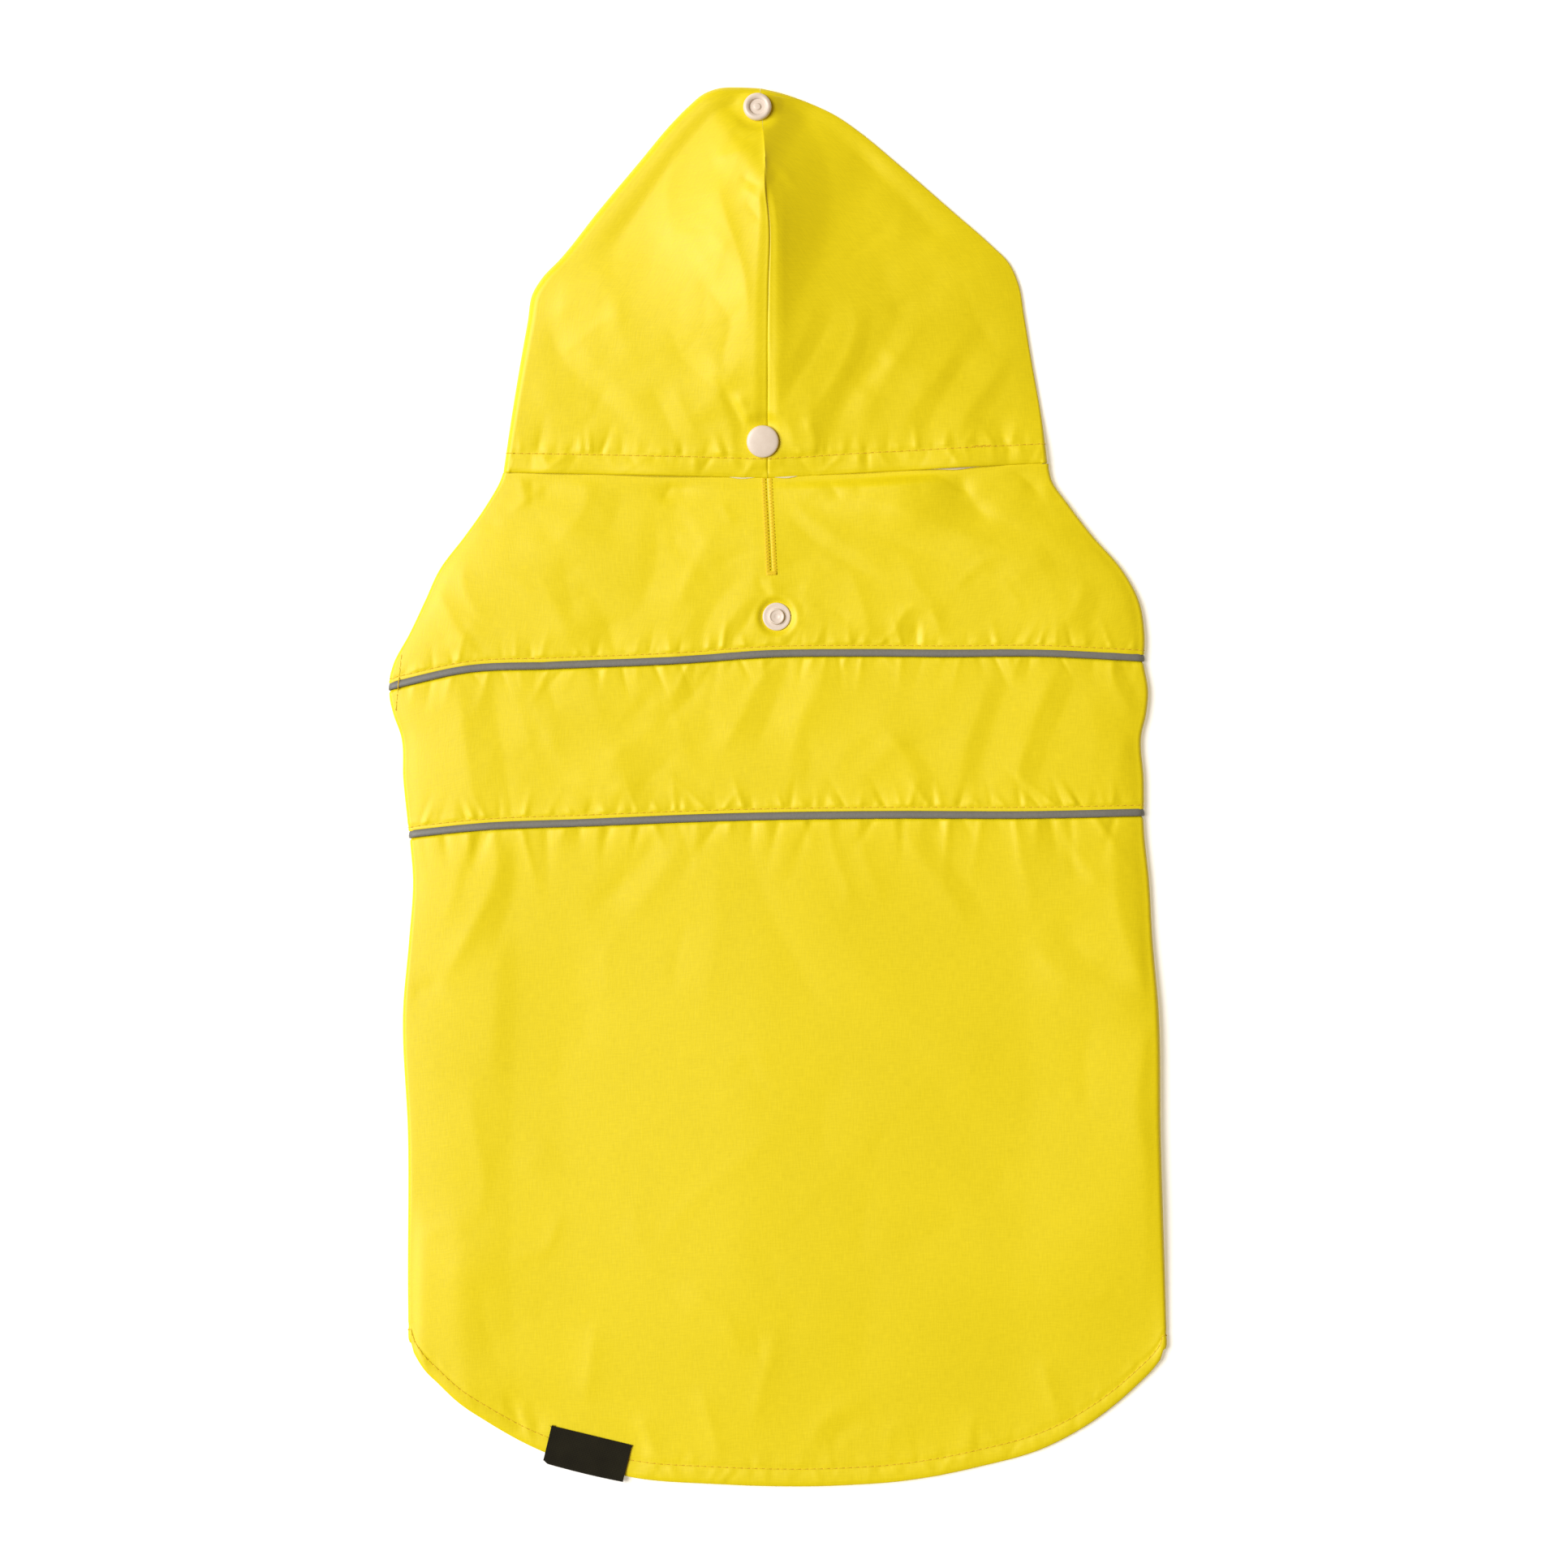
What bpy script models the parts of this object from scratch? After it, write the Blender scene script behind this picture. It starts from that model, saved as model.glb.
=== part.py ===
"""Dog raincoat with a hood, laid flat with its back up.

The coat is a flattened tube.  Three back panels (yoke, band and skirt) run over the top,
roll round both sides and end on the underside, where the belly panel closes the tube and
leaves the two leg holes.  The hood is two halves that meet at a centre seam.  Its hemmed
neck edge lies on the yoke, and its outline rolls under to a border round the face opening.

Sizes in this script are millimetres, +X to the wearer's right as the coat lies, +Y to the
crown of the hood, +Z up, and the floor is at z = 0.  The meshes are made in metres.
"""

import math
from collections import namedtuple

import bmesh
import bpy
import numpy as np
from mathutils import Matrix, Vector

for old in list(bpy.data.objects):
    bpy.data.objects.remove(old)

MM = 0.001

# ---------------------------------------------------------------- driving dimensions (mm)

WALL = 1.6                  # thickness of each cloth wall
SEAM_GAP = 0.3              # clearance between pieces that are sewn together
SIDE_RADIUS = 2.8           # roll at the body's sides, to the middle of the wall
TOP_LEVEL = 4.8             # middle of the back's wall above the floor
HEM_LEVEL = 2.4             # the same at the free hem of the skirt
HEM_SLOPE_LENGTH = 80.0     # the skirt sinks to its hem over this length
RETURN_WIDTH = 30.0         # reach of the back panels on the underside
OVER_BELLY_LEVEL = WALL * 1.5 + SEAM_GAP    # lowest that the back lies over the belly panel
HEM_LOWEST_LEVEL = 2.0      # lowest that it lies past the belly panel's hem
ROLL_BLEND = 12.0           # the back rises to its side rolls over about this width
ROLL_CALM = 7.0             # and its folds die away over this one
UNDER_HOOD_Y = 116.0        # no folds above this line, where the hood lies on the yoke
UNDER_HOOD_FADE = 10.0

PIPING_WIDTH = 3.2
PIPING_HEIGHT = 2.6
PIPING_SIDES = 8
PIPING_PROUD = 0.3          # the cord's middle stands out of the wall's middle by this
PIPING_FLATNESS = 0.98      # its flat sides stay this share inside the wall's faces
PIPING_END_TRIM = 0.05      # share of the last step that is cut off at the cord's ends

LEG_HOLE_Y = 44.0           # centre of the leg holes along the coat
LEG_HOLE_HALF_LENGTH = 33.0
LEG_HOLE_OUTWARD = 24.0     # from the belly seam towards the side roll
LEG_HOLE_INWARD = 15.0      # from the belly seam towards the middle

NECK_SCOOP = 12.0           # the belly panel's neckline dips by this
BELLY_HEM_RAISE = 45.0      # the belly panel's hem rises by this in the middle

TONGUE_END_Y = 139.8        # the yoke's neck edge, under the hood
TONGUE_HALF_WIDTH = 97.0
TONGUE_LEFT_TRIM = 2.0
TONGUE_TAPER = 0.06         # its far edge is narrower by this share
TONGUE_SHARES = (0.0, 0.5, 0.86)

GATHER_PITCH = 13.5
GATHER_RISE = 0.75
GATHER_REACH = 4.0          # distance from the seam at which a gather is highest

HOOD_BORDER = 30.0          # reach of the hood on its underside, round the face opening
HOOD_BORDER_MOST = 0.8      # the border is at most this share of the way to the seam
HOOD_HEM_LEVEL = 8.0        # middle of the hood's wall where it lies on the yoke
HOOD_CROWN_LEVEL = 6.8
HOOD_SEAM_HALF_GAP = 0.15
HOOD_SEAM_SPREAD = 0.5      # added to it where the seam runs up to the crown

LINING_WALL = 1.0
LINING_DEPTH = 9.0
LINING_HALF_WIDTH = 94.0
LINING_SETBACK = 0.5        # from the hood's hem edge, where the lining does not peep out
LINING_PEEP = 1.3           # how much further down it hangs where it does

SLOT_TOP = (-4.1, 120.0)
SLOT_FOOT = (-2.1, 82.0)
SLOT_WIDTH = 1.0

LABEL_LENGTH = 31.7
LABEL_HEIGHT = 13.7
LABEL_WALL = 0.7
LABEL_CENTRE = (-73.0, -256.2)
LABEL_TILT = -13.6          # degrees
LABEL_UNDER_LEAF = 4.0

# ---------------------------------------------------------------- tables, in millimetres

Edge = namedtuple("Edge", "y left right")
BODY_EDGES = [
    Edge(122.0, -105.2, 104.2),
    Edge(117.3, -106.8, 105.4),
    Edge(108.6, -111.7, 111.4),
    Edge(96.1, -120.4, 121.0),
    Edge(83.7, -129.8, 131.9),
    Edge(71.2, -135.7, 138.8),
    Edge(58.7, -141.6, 141.0),
    Edge(46.3, -148.1, 140.9),
    Edge(36.9, -149.7, 142.4),
    Edge(27.6, -147.9, 141.6),
    Edge(19.8, -145.1, 139.8),
    Edge(2.6, -144.1, 140.7),
    Edge(-18.5, -141.9, 140.9),
    Edge(-34.7, -140.4, 142.6),
    Edge(-59.7, -141.9, 144.1),
    Edge(-84.6, -144.1, 146.3),
    Edge(-134.5, -142.3, 147.2),
    Edge(-196.8, -142.3, 149.1),
    Edge(-220.0, -142.0, 149.7),
]

Station = namedtuple("Station", "share y")
NECK_LINE = [
    Station(0.0, 117.4),
    Station(0.5, 116.0),
    Station(1.0, 121.2),
]
UPPER_SEAM = [
    Station(0.0, 38.2),
    Station(0.11, 45.2),
    Station(0.21, 46.6),
    Station(0.38, 49.1),
    Station(0.51, 50.8),
    Station(0.60, 51.2),
    Station(0.75, 50.7),
    Station(0.85, 50.8),
    Station(1.0, 49.1),
]
LOWER_SEAM = [
    Station(0.0, -18.5),
    Station(0.09, -15.7),
    Station(0.24, -13.9),
    Station(0.44, -11.8),
    Station(0.66, -10.9),
    Station(0.85, -11.0),
    Station(1.0, -10.1),
]
HEM_LINE = [
    Station(0.0, -213.9),
    Station(0.018, -222.9),
    Station(0.040, -229.5),
    Station(0.061, -235.4),
    Station(0.104, -244.1),
    Station(0.168, -254.4),
    Station(0.232, -261.0),
    Station(0.296, -265.5),
    Station(0.40, -267.9),
    Station(0.574, -268.5),
    Station(0.659, -266.6),
    Station(0.745, -261.9),
    Station(0.851, -252.5),
    Station(0.915, -241.3),
    Station(0.958, -230.7),
    Station(0.985, -222.6),
    Station(1.0, -216.4),
]

# A line across the coat, and how it runs on along the underside per millimetre inwards.
Across = namedtuple("Across", "stations left_turn right_turn")
NECK = Across(NECK_LINE, 0.0, 0.0)
UPPER = Across(UPPER_SEAM, -0.2, -0.05)
LOWER = Across(LOWER_SEAM, -0.1, 0.0)
HEM = Across(HEM_LINE, 1.2, 1.2)

Panel = namedtuple("Panel", "name above below rows gathers_above gathers_below phase")
SEAM_OFFSET = PIPING_WIDTH / 2 + SEAM_GAP
YOKE = Panel("yoke", NECK, UPPER, (0.0, 0.13, 0.27, 0.41, 0.55, 0.68, 0.79, 0.88, 0.95, 1.0),
             0.0, 1.0, 0.10)
BAND = Panel("band", UPPER, LOWER, (0.0, 0.07, 0.18, 0.38, 0.62, 0.82, 0.93, 1.0),
             0.8, 1.0, 0.47)
SKIRT = Panel("skirt", LOWER, HEM,
              (0.0, 0.018, 0.05, 0.10, 0.17, 0.26, 0.37, 0.49, 0.61, 0.73, 0.84, 0.92, 0.97, 1.0),
              1.3, 0.6, 0.81)

# Soft ridges (rise above 0) and troughs (below 0), each along a line from one end to the other.
Fold = namedtuple("Fold", "x0 y0 x1 y1 width rise")
BODY_FOLDS = [
    Fold(-98, 117, -82, 96, 6, -1.2),
    Fold(-70, 104, -45, 98, 9, -1.3),
    Fold(-78, 87, -64, 57, 6, -1.3),
    Fold(-112, 84, -104, 68, 8, 0.9),
    Fold(-36, 92, -14, 62, 9, 0.9),
    Fold(0, 112, 43, 78, 6, 1.6),
    Fold(10, 92, 32, 70, 6, -1.2),
    Fold(47, 66, 62, 60, 5, -1.2),
    Fold(69, 73, 85, 85, 5, 1.1),
    Fold(98, 98, 118, 72, 10, -1.0),
    Fold(-116, 36, -114, 5, 7, -1.1),
    Fold(-104, 36, -86, 2, 7, 1.0),
    Fold(-24, 40, -46, 22, 6, -1.2),
    Fold(-4, 44, -13, 10, 7, 1.0),
    Fold(39, 28, 55, 0, 6, -1.1),
    Fold(103, 44, 90, 2, 6, -1.4),
    Fold(72, 38, 70, 2, 6, 1.0),
    Fold(-109, -22, -106, -57, 6, 1.4),
    Fold(-106, -57, -127, -75, 6, 1.3),
    Fold(-100, -40, -101, -118, 12, -1.4),
    Fold(-83, -103, -79, -152, 12, -1.0),
    Fold(-10, -32, 8, -73, 8, 1.2),
    Fold(8, -33, 52, -93, 10, -1.4),
    Fold(52, -93, 83, -148, 14, -1.3),
    Fold(42, -22, 71, -47, 6, -1.0),
    Fold(99, -57, 113, -77, 9, 1.1),
    Fold(-101, -186, -83, -162, 6, -1.0),
    Fold(-32, -196, -18, -216, 6, 1.0),
    Fold(-72, -214, -70, -236, 7, 1.0),
]
HOOD_FOLDS = [
    Fold(-34, 254, -62, 206, 8, -1.4),
    Fold(-40, 236, -32, 190, 9, 1.3),
    Fold(-26, 232, -16, 180, 7, 1.6),
    Fold(-41, 172, -23, 151, 7, -1.3),
    Fold(-90, 181, -81, 165, 7, -1.4),
    Fold(-81, 165, -62, 149, 7, -1.5),
    Fold(-62, 149, -48, 134, 6, 1.2),
    Fold(23, 185, 6, 158, 7, -1.5),
    Fold(28, 180, 20, 156, 6, 1.5),
    Fold(47, 178, 20, 146, 8, -1.3),
    Fold(71, 168, 62, 142, 7, 1.2),
    Fold(88, 165, 76, 142, 7, -1.2),
    Fold(30, 240, 25, 212, 10, 1.2),
]

Ridge = namedtuple("Ridge", "y x level")
HOOD_SEAM = [
    Ridge(118.6, -3.9, 8.0),
    Ridge(132.0, -3.9, 8.4),
    Ridge(145.0, -3.9, 10.6),
    Ridge(165.0, -3.9, 15.0),
    Ridge(190.0, -3.7, 18.4),
    Ridge(215.0, -3.4, 17.4),
    Ridge(239.5, -4.5, 12.6),
]

Point = namedtuple("Point", "x y")
HOOD_OUTLINES = {
    "left": [
        Point(-105.5, 120.8),
        Point(-102.7, 139.8),
        Point(-98.6, 164.7),
        Point(-96.1, 178.7),
        Point(-94.3, 189.0),
        Point(-90.5, 195.2),
        Point(-84.0, 202.0),
        Point(-69.0, 220.8),
        Point(-53.4, 239.5),
        Point(-40.0, 255.4),
        Point(-34.1, 261.3),
        Point(-28.5, 265.9),
        Point(-22.9, 268.0),
        Point(-15.0, 268.5),
        Point(-7.1, 268.2),
    ],
    "right": [
        Point(103.6, 124.5),
        Point(101.7, 139.8),
        Point(97.4, 164.7),
        Point(94.6, 181.8),
        Point(92.7, 192.7),
        Point(89.0, 201.0),
        Point(81.8, 208.3),
        Point(67.5, 220.8),
        Point(46.0, 239.5),
        Point(31.0, 251.9),
        Point(22.3, 257.9),
        Point(12.9, 262.4),
        Point(2.0, 266.2),
        Point(-6.7, 268.2),
    ],
}
HOOD_LINES = (0.0, 0.015, 0.045, 0.09, 0.15, 0.22, 0.29, 0.36, 0.43, 0.50, 0.58, 0.67, 0.76, 0.85,
              0.93, 1.0)

# Flat seats for what is pressed or sewn on: the plane rises by slope_x and slope_y.
Seat = namedtuple("Seat", "x y level slope_x slope_y flat fade")
STUD_SEAT = Seat(-0.5, 65.0, 5.4, 0.0, 0.0, 7.0, 13.0)
LABEL_SEAT = Seat(-73.0, -256.2, 2.4, 0.0, 0.0, 19.0, 27.0)
CAP_SEAT = Seat(-5.8, 132.1, 8.9, 0.0, 0.08, 8.0, 14.0)
SOCKET_SEAT = Seat(-7.9, 260.2, 7.4, 0.0, -0.14, 6.5, 12.0)

Turned = namedtuple("Turned", "radius height")
CAP_PROFILE = [Turned(0, 0), Turned(5.9, 0), Turned(6.2, 0.4), Turned(6.15, 1.0),
               Turned(5.6, 1.5), Turned(3.2, 1.9), Turned(0, 2.0)]
STUD_PROFILE = [Turned(0, 0), Turned(5.3, 0), Turned(5.35, 0.5), Turned(5.0, 0.8),
                Turned(3.1, 0.9), Turned(2.85, 1.4), Turned(3.05, 2.4), Turned(2.7, 2.8),
                Turned(2.3, 2.7), Turned(2.1, 1.6), Turned(0, 1.4)]
SOCKET_PROFILE = [Turned(0, 0), Turned(5.2, 0), Turned(5.4, 0.7), Turned(5.1, 1.6),
                  Turned(4.3, 2.1), Turned(3.5, 1.8), Turned(3.1, 1.1), Turned(1.4, 0.9),
                  Turned(1.1, 1.3), Turned(0, 1.4)]
SNAP_SIDES = 20

# ---------------------------------------------------------------- colours

Finish = namedtuple("Finish", "colour roughness")
YELLOW_CLOTH = Finish((0.90, 0.68, 0.035), 0.42)
PIPING_GREY = Finish((0.22, 0.22, 0.21), 0.35)
LINING_CREAM = Finish((0.85, 0.72, 0.42), 0.75)
SNAP_PLASTIC = Finish((0.83, 0.72, 0.64), 0.35)
LABEL_BLACK = Finish((0.012, 0.011, 0.008), 0.8)


# ---------------------------------------------------------------- curves and surfaces

def column(table, name):
    """One named column of a table, as an array."""
    return np.array([getattr(row, name) for row in table], dtype=float)


def smooth_through(knots, values, at):
    """Values at `at` of the smooth curve through (knots, values), knots rising."""
    slopes = np.gradient(values, knots)
    at = np.clip(np.asarray(at, dtype=float), knots[0], knots[-1])
    index = np.clip(np.searchsorted(knots, at) - 1, 0, len(knots) - 2)
    step = knots[index + 1] - knots[index]
    t = (at - knots[index]) / step
    start = (1 + 2 * t) * (1 - t) ** 2 * values[index] + t * (1 - t) ** 2 * step * slopes[index]
    end = t * t * (3 - 2 * t) * values[index + 1] + t * t * (t - 1) * step * slopes[index + 1]
    return start + end


def ease(value):
    """Smooth step from 0 to 1 while value goes from 0 to 1."""
    value = np.clip(value, 0.0, 1.0)
    return value * value * (3 - 2 * value)


def body_edge(side, y):
    """Outermost x of the body at y."""
    rows = sorted(BODY_EDGES, key=lambda row: row.y)
    return smooth_through(column(rows, "y"), column(rows, side), y)


def fold_relief(folds, x, y):
    """Sum of the soft ridges and troughs at (x, y)."""
    relief = np.zeros_like(np.asarray(x, dtype=float))
    for fold in folds:
        along_x, along_y = fold.x1 - fold.x0, fold.y1 - fold.y0
        length_squared = along_x ** 2 + along_y ** 2
        share = ((x - fold.x0) * along_x + (y - fold.y0) * along_y) / length_squared
        share = np.clip(share, 0.0, 1.0)
        away = np.hypot(x - fold.x0 - share * along_x, y - fold.y0 - share * along_y)
        relief = relief + fold.rise * np.exp(-((away / fold.width) ** 2))
    return relief


def gathers(x, from_seam, phase):
    """Uneven gathers that start at a seam and die away from it."""
    turns = x / GATHER_PITCH + 0.3 * np.sin(x / 9.7 + 5 * phase) + phase
    unevenness = 0.75 + 0.25 * np.sin(x / 5.9 + 11 * phase)
    reach = np.maximum(from_seam, 0.0) / GATHER_REACH
    return GATHER_RISE * unevenness * np.sin(2 * math.pi * turns) * reach * np.exp(1 - reach)


def flatten_to(seat, x, y, z):
    """Blend z into the seat's plane near the seat."""
    away = np.hypot(x - seat.x, y - seat.y)
    weight = ease((seat.fade - away) / (seat.fade - seat.flat))
    plane = seat.level + seat.slope_x * (x - seat.x) + seat.slope_y * (y - seat.y)
    return z * (1 - weight) + plane * weight


# ---------------------------------------------------------------- the body's rows

TOP_COLUMNS = 56
_even = np.linspace(0.0, 1.0, TOP_COLUMNS + 1)
TOP_SHARES = 0.75 * _even + 0.25 * (0.5 - 0.5 * np.cos(math.pi * _even))
ROLL_ANGLES = np.radians([-90.0, -54.0, -18.0, 18.0, 54.0, 90.0])
ROLL_REACH = SIDE_RADIUS + WALL / 2
SIDE_COLUMNS = 2 + len(ROLL_ANGLES)
SIDES = {"left": 1.0, "right": -1.0}


def across_y(line, offset, share):
    return smooth_through(column(line.stations, "share"), column(line.stations, "y"), share) + offset


def leg_hole(y):
    """1 at the middle of the leg hole, 0 past its ends."""
    reach = np.clip(1 - ((y - LEG_HOLE_Y) / LEG_HOLE_HALF_LENGTH) ** 2, 0.0, 1.0)
    return math.sqrt(reach)


class Row:
    """One line across the body, a share of the way down a panel."""

    def __init__(self, panel, share):
        above_offset = 0.0 if panel.above is NECK else -SEAM_OFFSET
        below_offset = 0.0 if panel.below is HEM else SEAM_OFFSET
        self.panel, self.share = panel, share
        self.above = lambda f: across_y(panel.above, above_offset, f)
        self.below = lambda f: across_y(panel.below, below_offset, f)
        self.turn = {}
        for side in SIDES:
            first, last = getattr(panel.above, side + "_turn"), getattr(panel.below, side + "_turn")
            self.turn[side] = first + (last - first) * share
        self.end_y = {"left": float(self.y(0.0)), "right": float(self.y(1.0))}
        self.end_x = {side: float(body_edge(side, self.end_y[side])) for side in SIDES}
        self.width = self.end_x["right"] - self.end_x["left"]

    def y(self, f):
        return self.above(f) * (1 - self.share) + self.below(f) * self.share

    def underside(self, side, inward):
        """Point on the underside, `inward` from the side's outermost line."""
        return (self.end_x[side] + SIDES[side] * inward,
                self.end_y[side] + self.turn[side] * inward)

    def side_points(self, side):
        """From the inner edge on the underside, round the roll, to its top."""
        reach = RETURN_WIDTH - LEG_HOLE_OUTWARD * leg_hole(self.end_y[side])
        points = [(*self.underside(side, inward), WALL / 2)
                  for inward in (reach, (reach + ROLL_REACH) / 2)]
        for angle in ROLL_ANGLES:
            inward = ROLL_REACH - SIDE_RADIUS * math.cos(angle)
            run = inward - WALL / 2 * math.cos(angle)
            x = self.end_x[side] + SIDES[side] * inward
            if angle < 0:
                y = self.underside(side, run)[1]
            else:
                y = float(self.y(abs(self.end_x[side] + SIDES[side] * run - self.end_x["left"])
                                 / self.width))
            points.append((x, y, WALL / 2 + SIDE_RADIUS * (1 + math.sin(angle))))
        return points

    def top_points(self):
        x = self.end_x["left"] + ROLL_REACH + TOP_SHARES * (self.width - 2 * ROLL_REACH)
        share = (x - self.end_x["left"]) / self.width
        y = self.y(share)
        from_roll = np.minimum(x - x[0], x[-1] - x)
        from_above = self.above(share) - y
        from_below = y - self.below(share)
        return list(zip(x, y, body_level(self.panel, x, y, from_roll, from_above, from_below)))

    def points(self):
        left, right = self.side_points("left"), self.side_points("right")
        return left + self.top_points()[1:-1] + right[::-1]


def body_level(panel, x, y, from_roll, from_above, from_below):
    """Height of the middle of the back's wall."""
    level = np.full_like(x, TOP_LEVEL)
    if panel is SKIRT:
        level = HEM_LEVEL + (TOP_LEVEL - HEM_LEVEL) * ease(from_below / HEM_SLOPE_LENGTH)
    side_level = WALL / 2 + 2 * SIDE_RADIUS
    level = level + (side_level - level) * np.exp(-((from_roll / ROLL_BLEND) ** 2))
    relief = fold_relief(BODY_FOLDS, x, y)
    relief = relief + panel.gathers_above * gathers(x, from_above, panel.phase)
    relief = relief + panel.gathers_below * gathers(x, from_below, panel.phase + 0.37)
    clear_of_hood = ease((UNDER_HOOD_Y - y) / UNDER_HOOD_FADE)
    level = level + relief * clear_of_hood * (1 - np.exp(-((from_roll / ROLL_CALM) ** 2)))
    level = flatten_to(STUD_SEAT, x, y, level)
    level = flatten_to(LABEL_SEAT, x, y, level)
    lowest = HEM_LOWEST_LEVEL if panel is SKIRT else OVER_BELLY_LEVEL
    lowest = np.where(from_below > HEM_SLOPE_LENGTH / 2, OVER_BELLY_LEVEL, lowest)
    return np.maximum(level, lowest)


def tongue_rows():
    """The yoke's neck edge under the hood: rows of the top layer alone, top row first."""
    neck = Row(YOKE, 0.0)
    rows = []
    top = np.array(neck.top_points())
    first_x = -TONGUE_HALF_WIDTH + TONGUE_LEFT_TRIM
    for share in TONGUE_SHARES:
        x = np.interp(TOP_SHARES, (0, 1), (first_x, TONGUE_HALF_WIDTH))
        x = x * (1 - TONGUE_TAPER * (1 - share))
        y = TONGUE_END_Y + (top[:, 1] - TONGUE_END_Y) * share
        line = [(a, b, TOP_LEVEL) for a, b in zip(x, y)]
        rows.append([line[0]] * SIDE_COLUMNS + line[1:-1] + [line[-1]] * SIDE_COLUMNS)
    return rows


# ---------------------------------------------------------------- making objects

def material(name, finish):
    made = bpy.data.materials.new(name)
    made.use_nodes = True
    shader = made.node_tree.nodes["Principled BSDF"]
    shader.inputs["Base Color"].default_value = (*finish.colour, 1.0)
    shader.inputs["Roughness"].default_value = finish.roughness
    shader.inputs["Metallic"].default_value = 0.0
    return made


def finish_object(name, mesh, finish):
    made = bpy.data.objects.new(name, mesh)
    bpy.context.scene.collection.objects.link(made)
    mesh.materials.append(material(name + "_material", finish))
    mesh.shade_smooth()
    mesh.set_sharp_from_angle(angle=math.radians(50))
    return made


def sheet(name, rows, wall, finish, left_out=None, flip=False):
    """A wall of cloth: a grid laid on rows of mid points, thickened both ways."""
    grid = bmesh.new()
    row_count, point_count = len(rows), len(rows[0])
    bmesh.ops.create_grid(grid, x_segments=point_count - 1, y_segments=row_count - 1, size=1.0)
    grid.verts.ensure_lookup_table()
    for vertex, point in zip(grid.verts, (point for row in rows for point in row)):
        vertex.co = Vector(point) * MM
    grid.faces.ensure_lookup_table()
    if left_out:
        dropped = [face for number, face in enumerate(grid.faces)
                   if left_out(number // (point_count - 1), number % (point_count - 1))]
        bmesh.ops.delete(grid, geom=dropped, context="FACES")
    if flip:
        bmesh.ops.reverse_faces(grid, faces=grid.faces)
    mesh = bpy.data.meshes.new(name)
    grid.to_mesh(mesh)
    grid.free()
    made = finish_object(name, mesh, finish)
    thicken = made.modifiers.new("wall", "SOLIDIFY")
    thicken.thickness = wall * MM
    thicken.offset = 0.0
    return made


def turned(name, profile, seat, lift, finish):
    """A round piece spun from its profile and seated on a plane of the cloth."""
    spun = bmesh.new()
    verts = [spun.verts.new((row.radius * MM, 0.0, row.height * MM)) for row in profile]
    edges = [spun.edges.new(pair) for pair in zip(verts, verts[1:])]
    bmesh.ops.spin(spun, geom=verts + edges, axis=(0, 0, 1), cent=(0, 0, 0),
                   angle=2 * math.pi, steps=SNAP_SIDES, use_merge=True)
    bmesh.ops.remove_doubles(spun, verts=spun.verts, dist=1e-5)
    bmesh.ops.recalc_face_normals(spun, faces=spun.faces)
    mesh = bpy.data.meshes.new(name)
    spun.to_mesh(mesh)
    spun.free()
    made = finish_object(name, mesh, finish)
    normal = Vector((-seat.slope_x, -seat.slope_y, 1.0)).normalized()
    place = Vector((seat.x, seat.y, seat.level)) + normal * (WALL / 2 + lift)
    made.location = place * MM
    made.rotation_mode = "QUATERNION"
    made.rotation_quaternion = normal.to_track_quat("Z", "Y")
    return made


# ---------------------------------------------------------------- the pieces

def back_panels():
    made = {}
    for panel in (YOKE, BAND, SKIRT):
        rows = [Row(panel, share).points() for share in panel.rows]
        left_out = None
        if panel is YOKE:
            tongue = tongue_rows()
            rows = tongue + rows
            last = len(rows[0]) - 1 - (SIDE_COLUMNS - 1)

            def left_out(row, cell, tongue_count=len(tongue), last=last):
                return row < tongue_count and (cell < SIDE_COLUMNS - 1 or cell >= last)
        made[panel.name] = sheet(panel.name, rows, WALL, YELLOW_CLOTH, left_out)
    return made


def leash_slot(yoke):
    """The slit for the leash, cut through the yoke."""
    middle = (Vector(SLOT_TOP) + Vector(SLOT_FOOT)) / 2
    run = Vector(SLOT_FOOT) - Vector(SLOT_TOP)
    bpy.ops.mesh.primitive_cube_add(size=1.0, location=(middle.x * MM, middle.y * MM, TOP_LEVEL * MM))
    cutter = bpy.context.active_object
    cutter.name = "slot_cutter"
    cutter.rotation_euler.z = math.atan2(run.y, run.x) - math.pi / 2
    cutter.scale = (SLOT_WIDTH * MM, run.length * MM, 16 * MM)
    cutter.hide_render = True
    cutter.display_type = "WIRE"
    cut = yoke.modifiers.new("leash_slot", "BOOLEAN")
    cut.operation = "DIFFERENCE"
    cut.object = cutter


def belly_panel():
    """The flat under layer between the back panels' inner edges."""
    rows = []
    for panel in (YOKE, BAND, SKIRT):
        for share in panel.rows:
            row = Row(panel, share)
            ends = []
            for side in SIDES:
                bulge = LEG_HOLE_INWARD * leg_hole(row.end_y[side])
                x, y = row.underside(side, RETURN_WIDTH)
                ends.append((x + SIDES[side] * (SEAM_GAP + bulge), y))
            dip = -NECK_SCOOP * (1 - share) ** 2 if panel is YOKE else 0.0
            rise = BELLY_HEM_RAISE * share ** 2 if panel is SKIRT else 0.0
            across = np.linspace(0.0, 1.0, 9)
            arch = 1 - (2 * across - 1) ** 2
            x = ends[0][0] + (ends[1][0] - ends[0][0]) * across
            y = ends[0][1] + (ends[1][1] - ends[0][1]) * across + (dip + rise) * arch
            rows.append([(a, b, WALL / 2) for a, b in zip(x, y)])
    return sheet("belly_panel", rows, WALL, YELLOW_CLOTH, flip=True)


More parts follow.
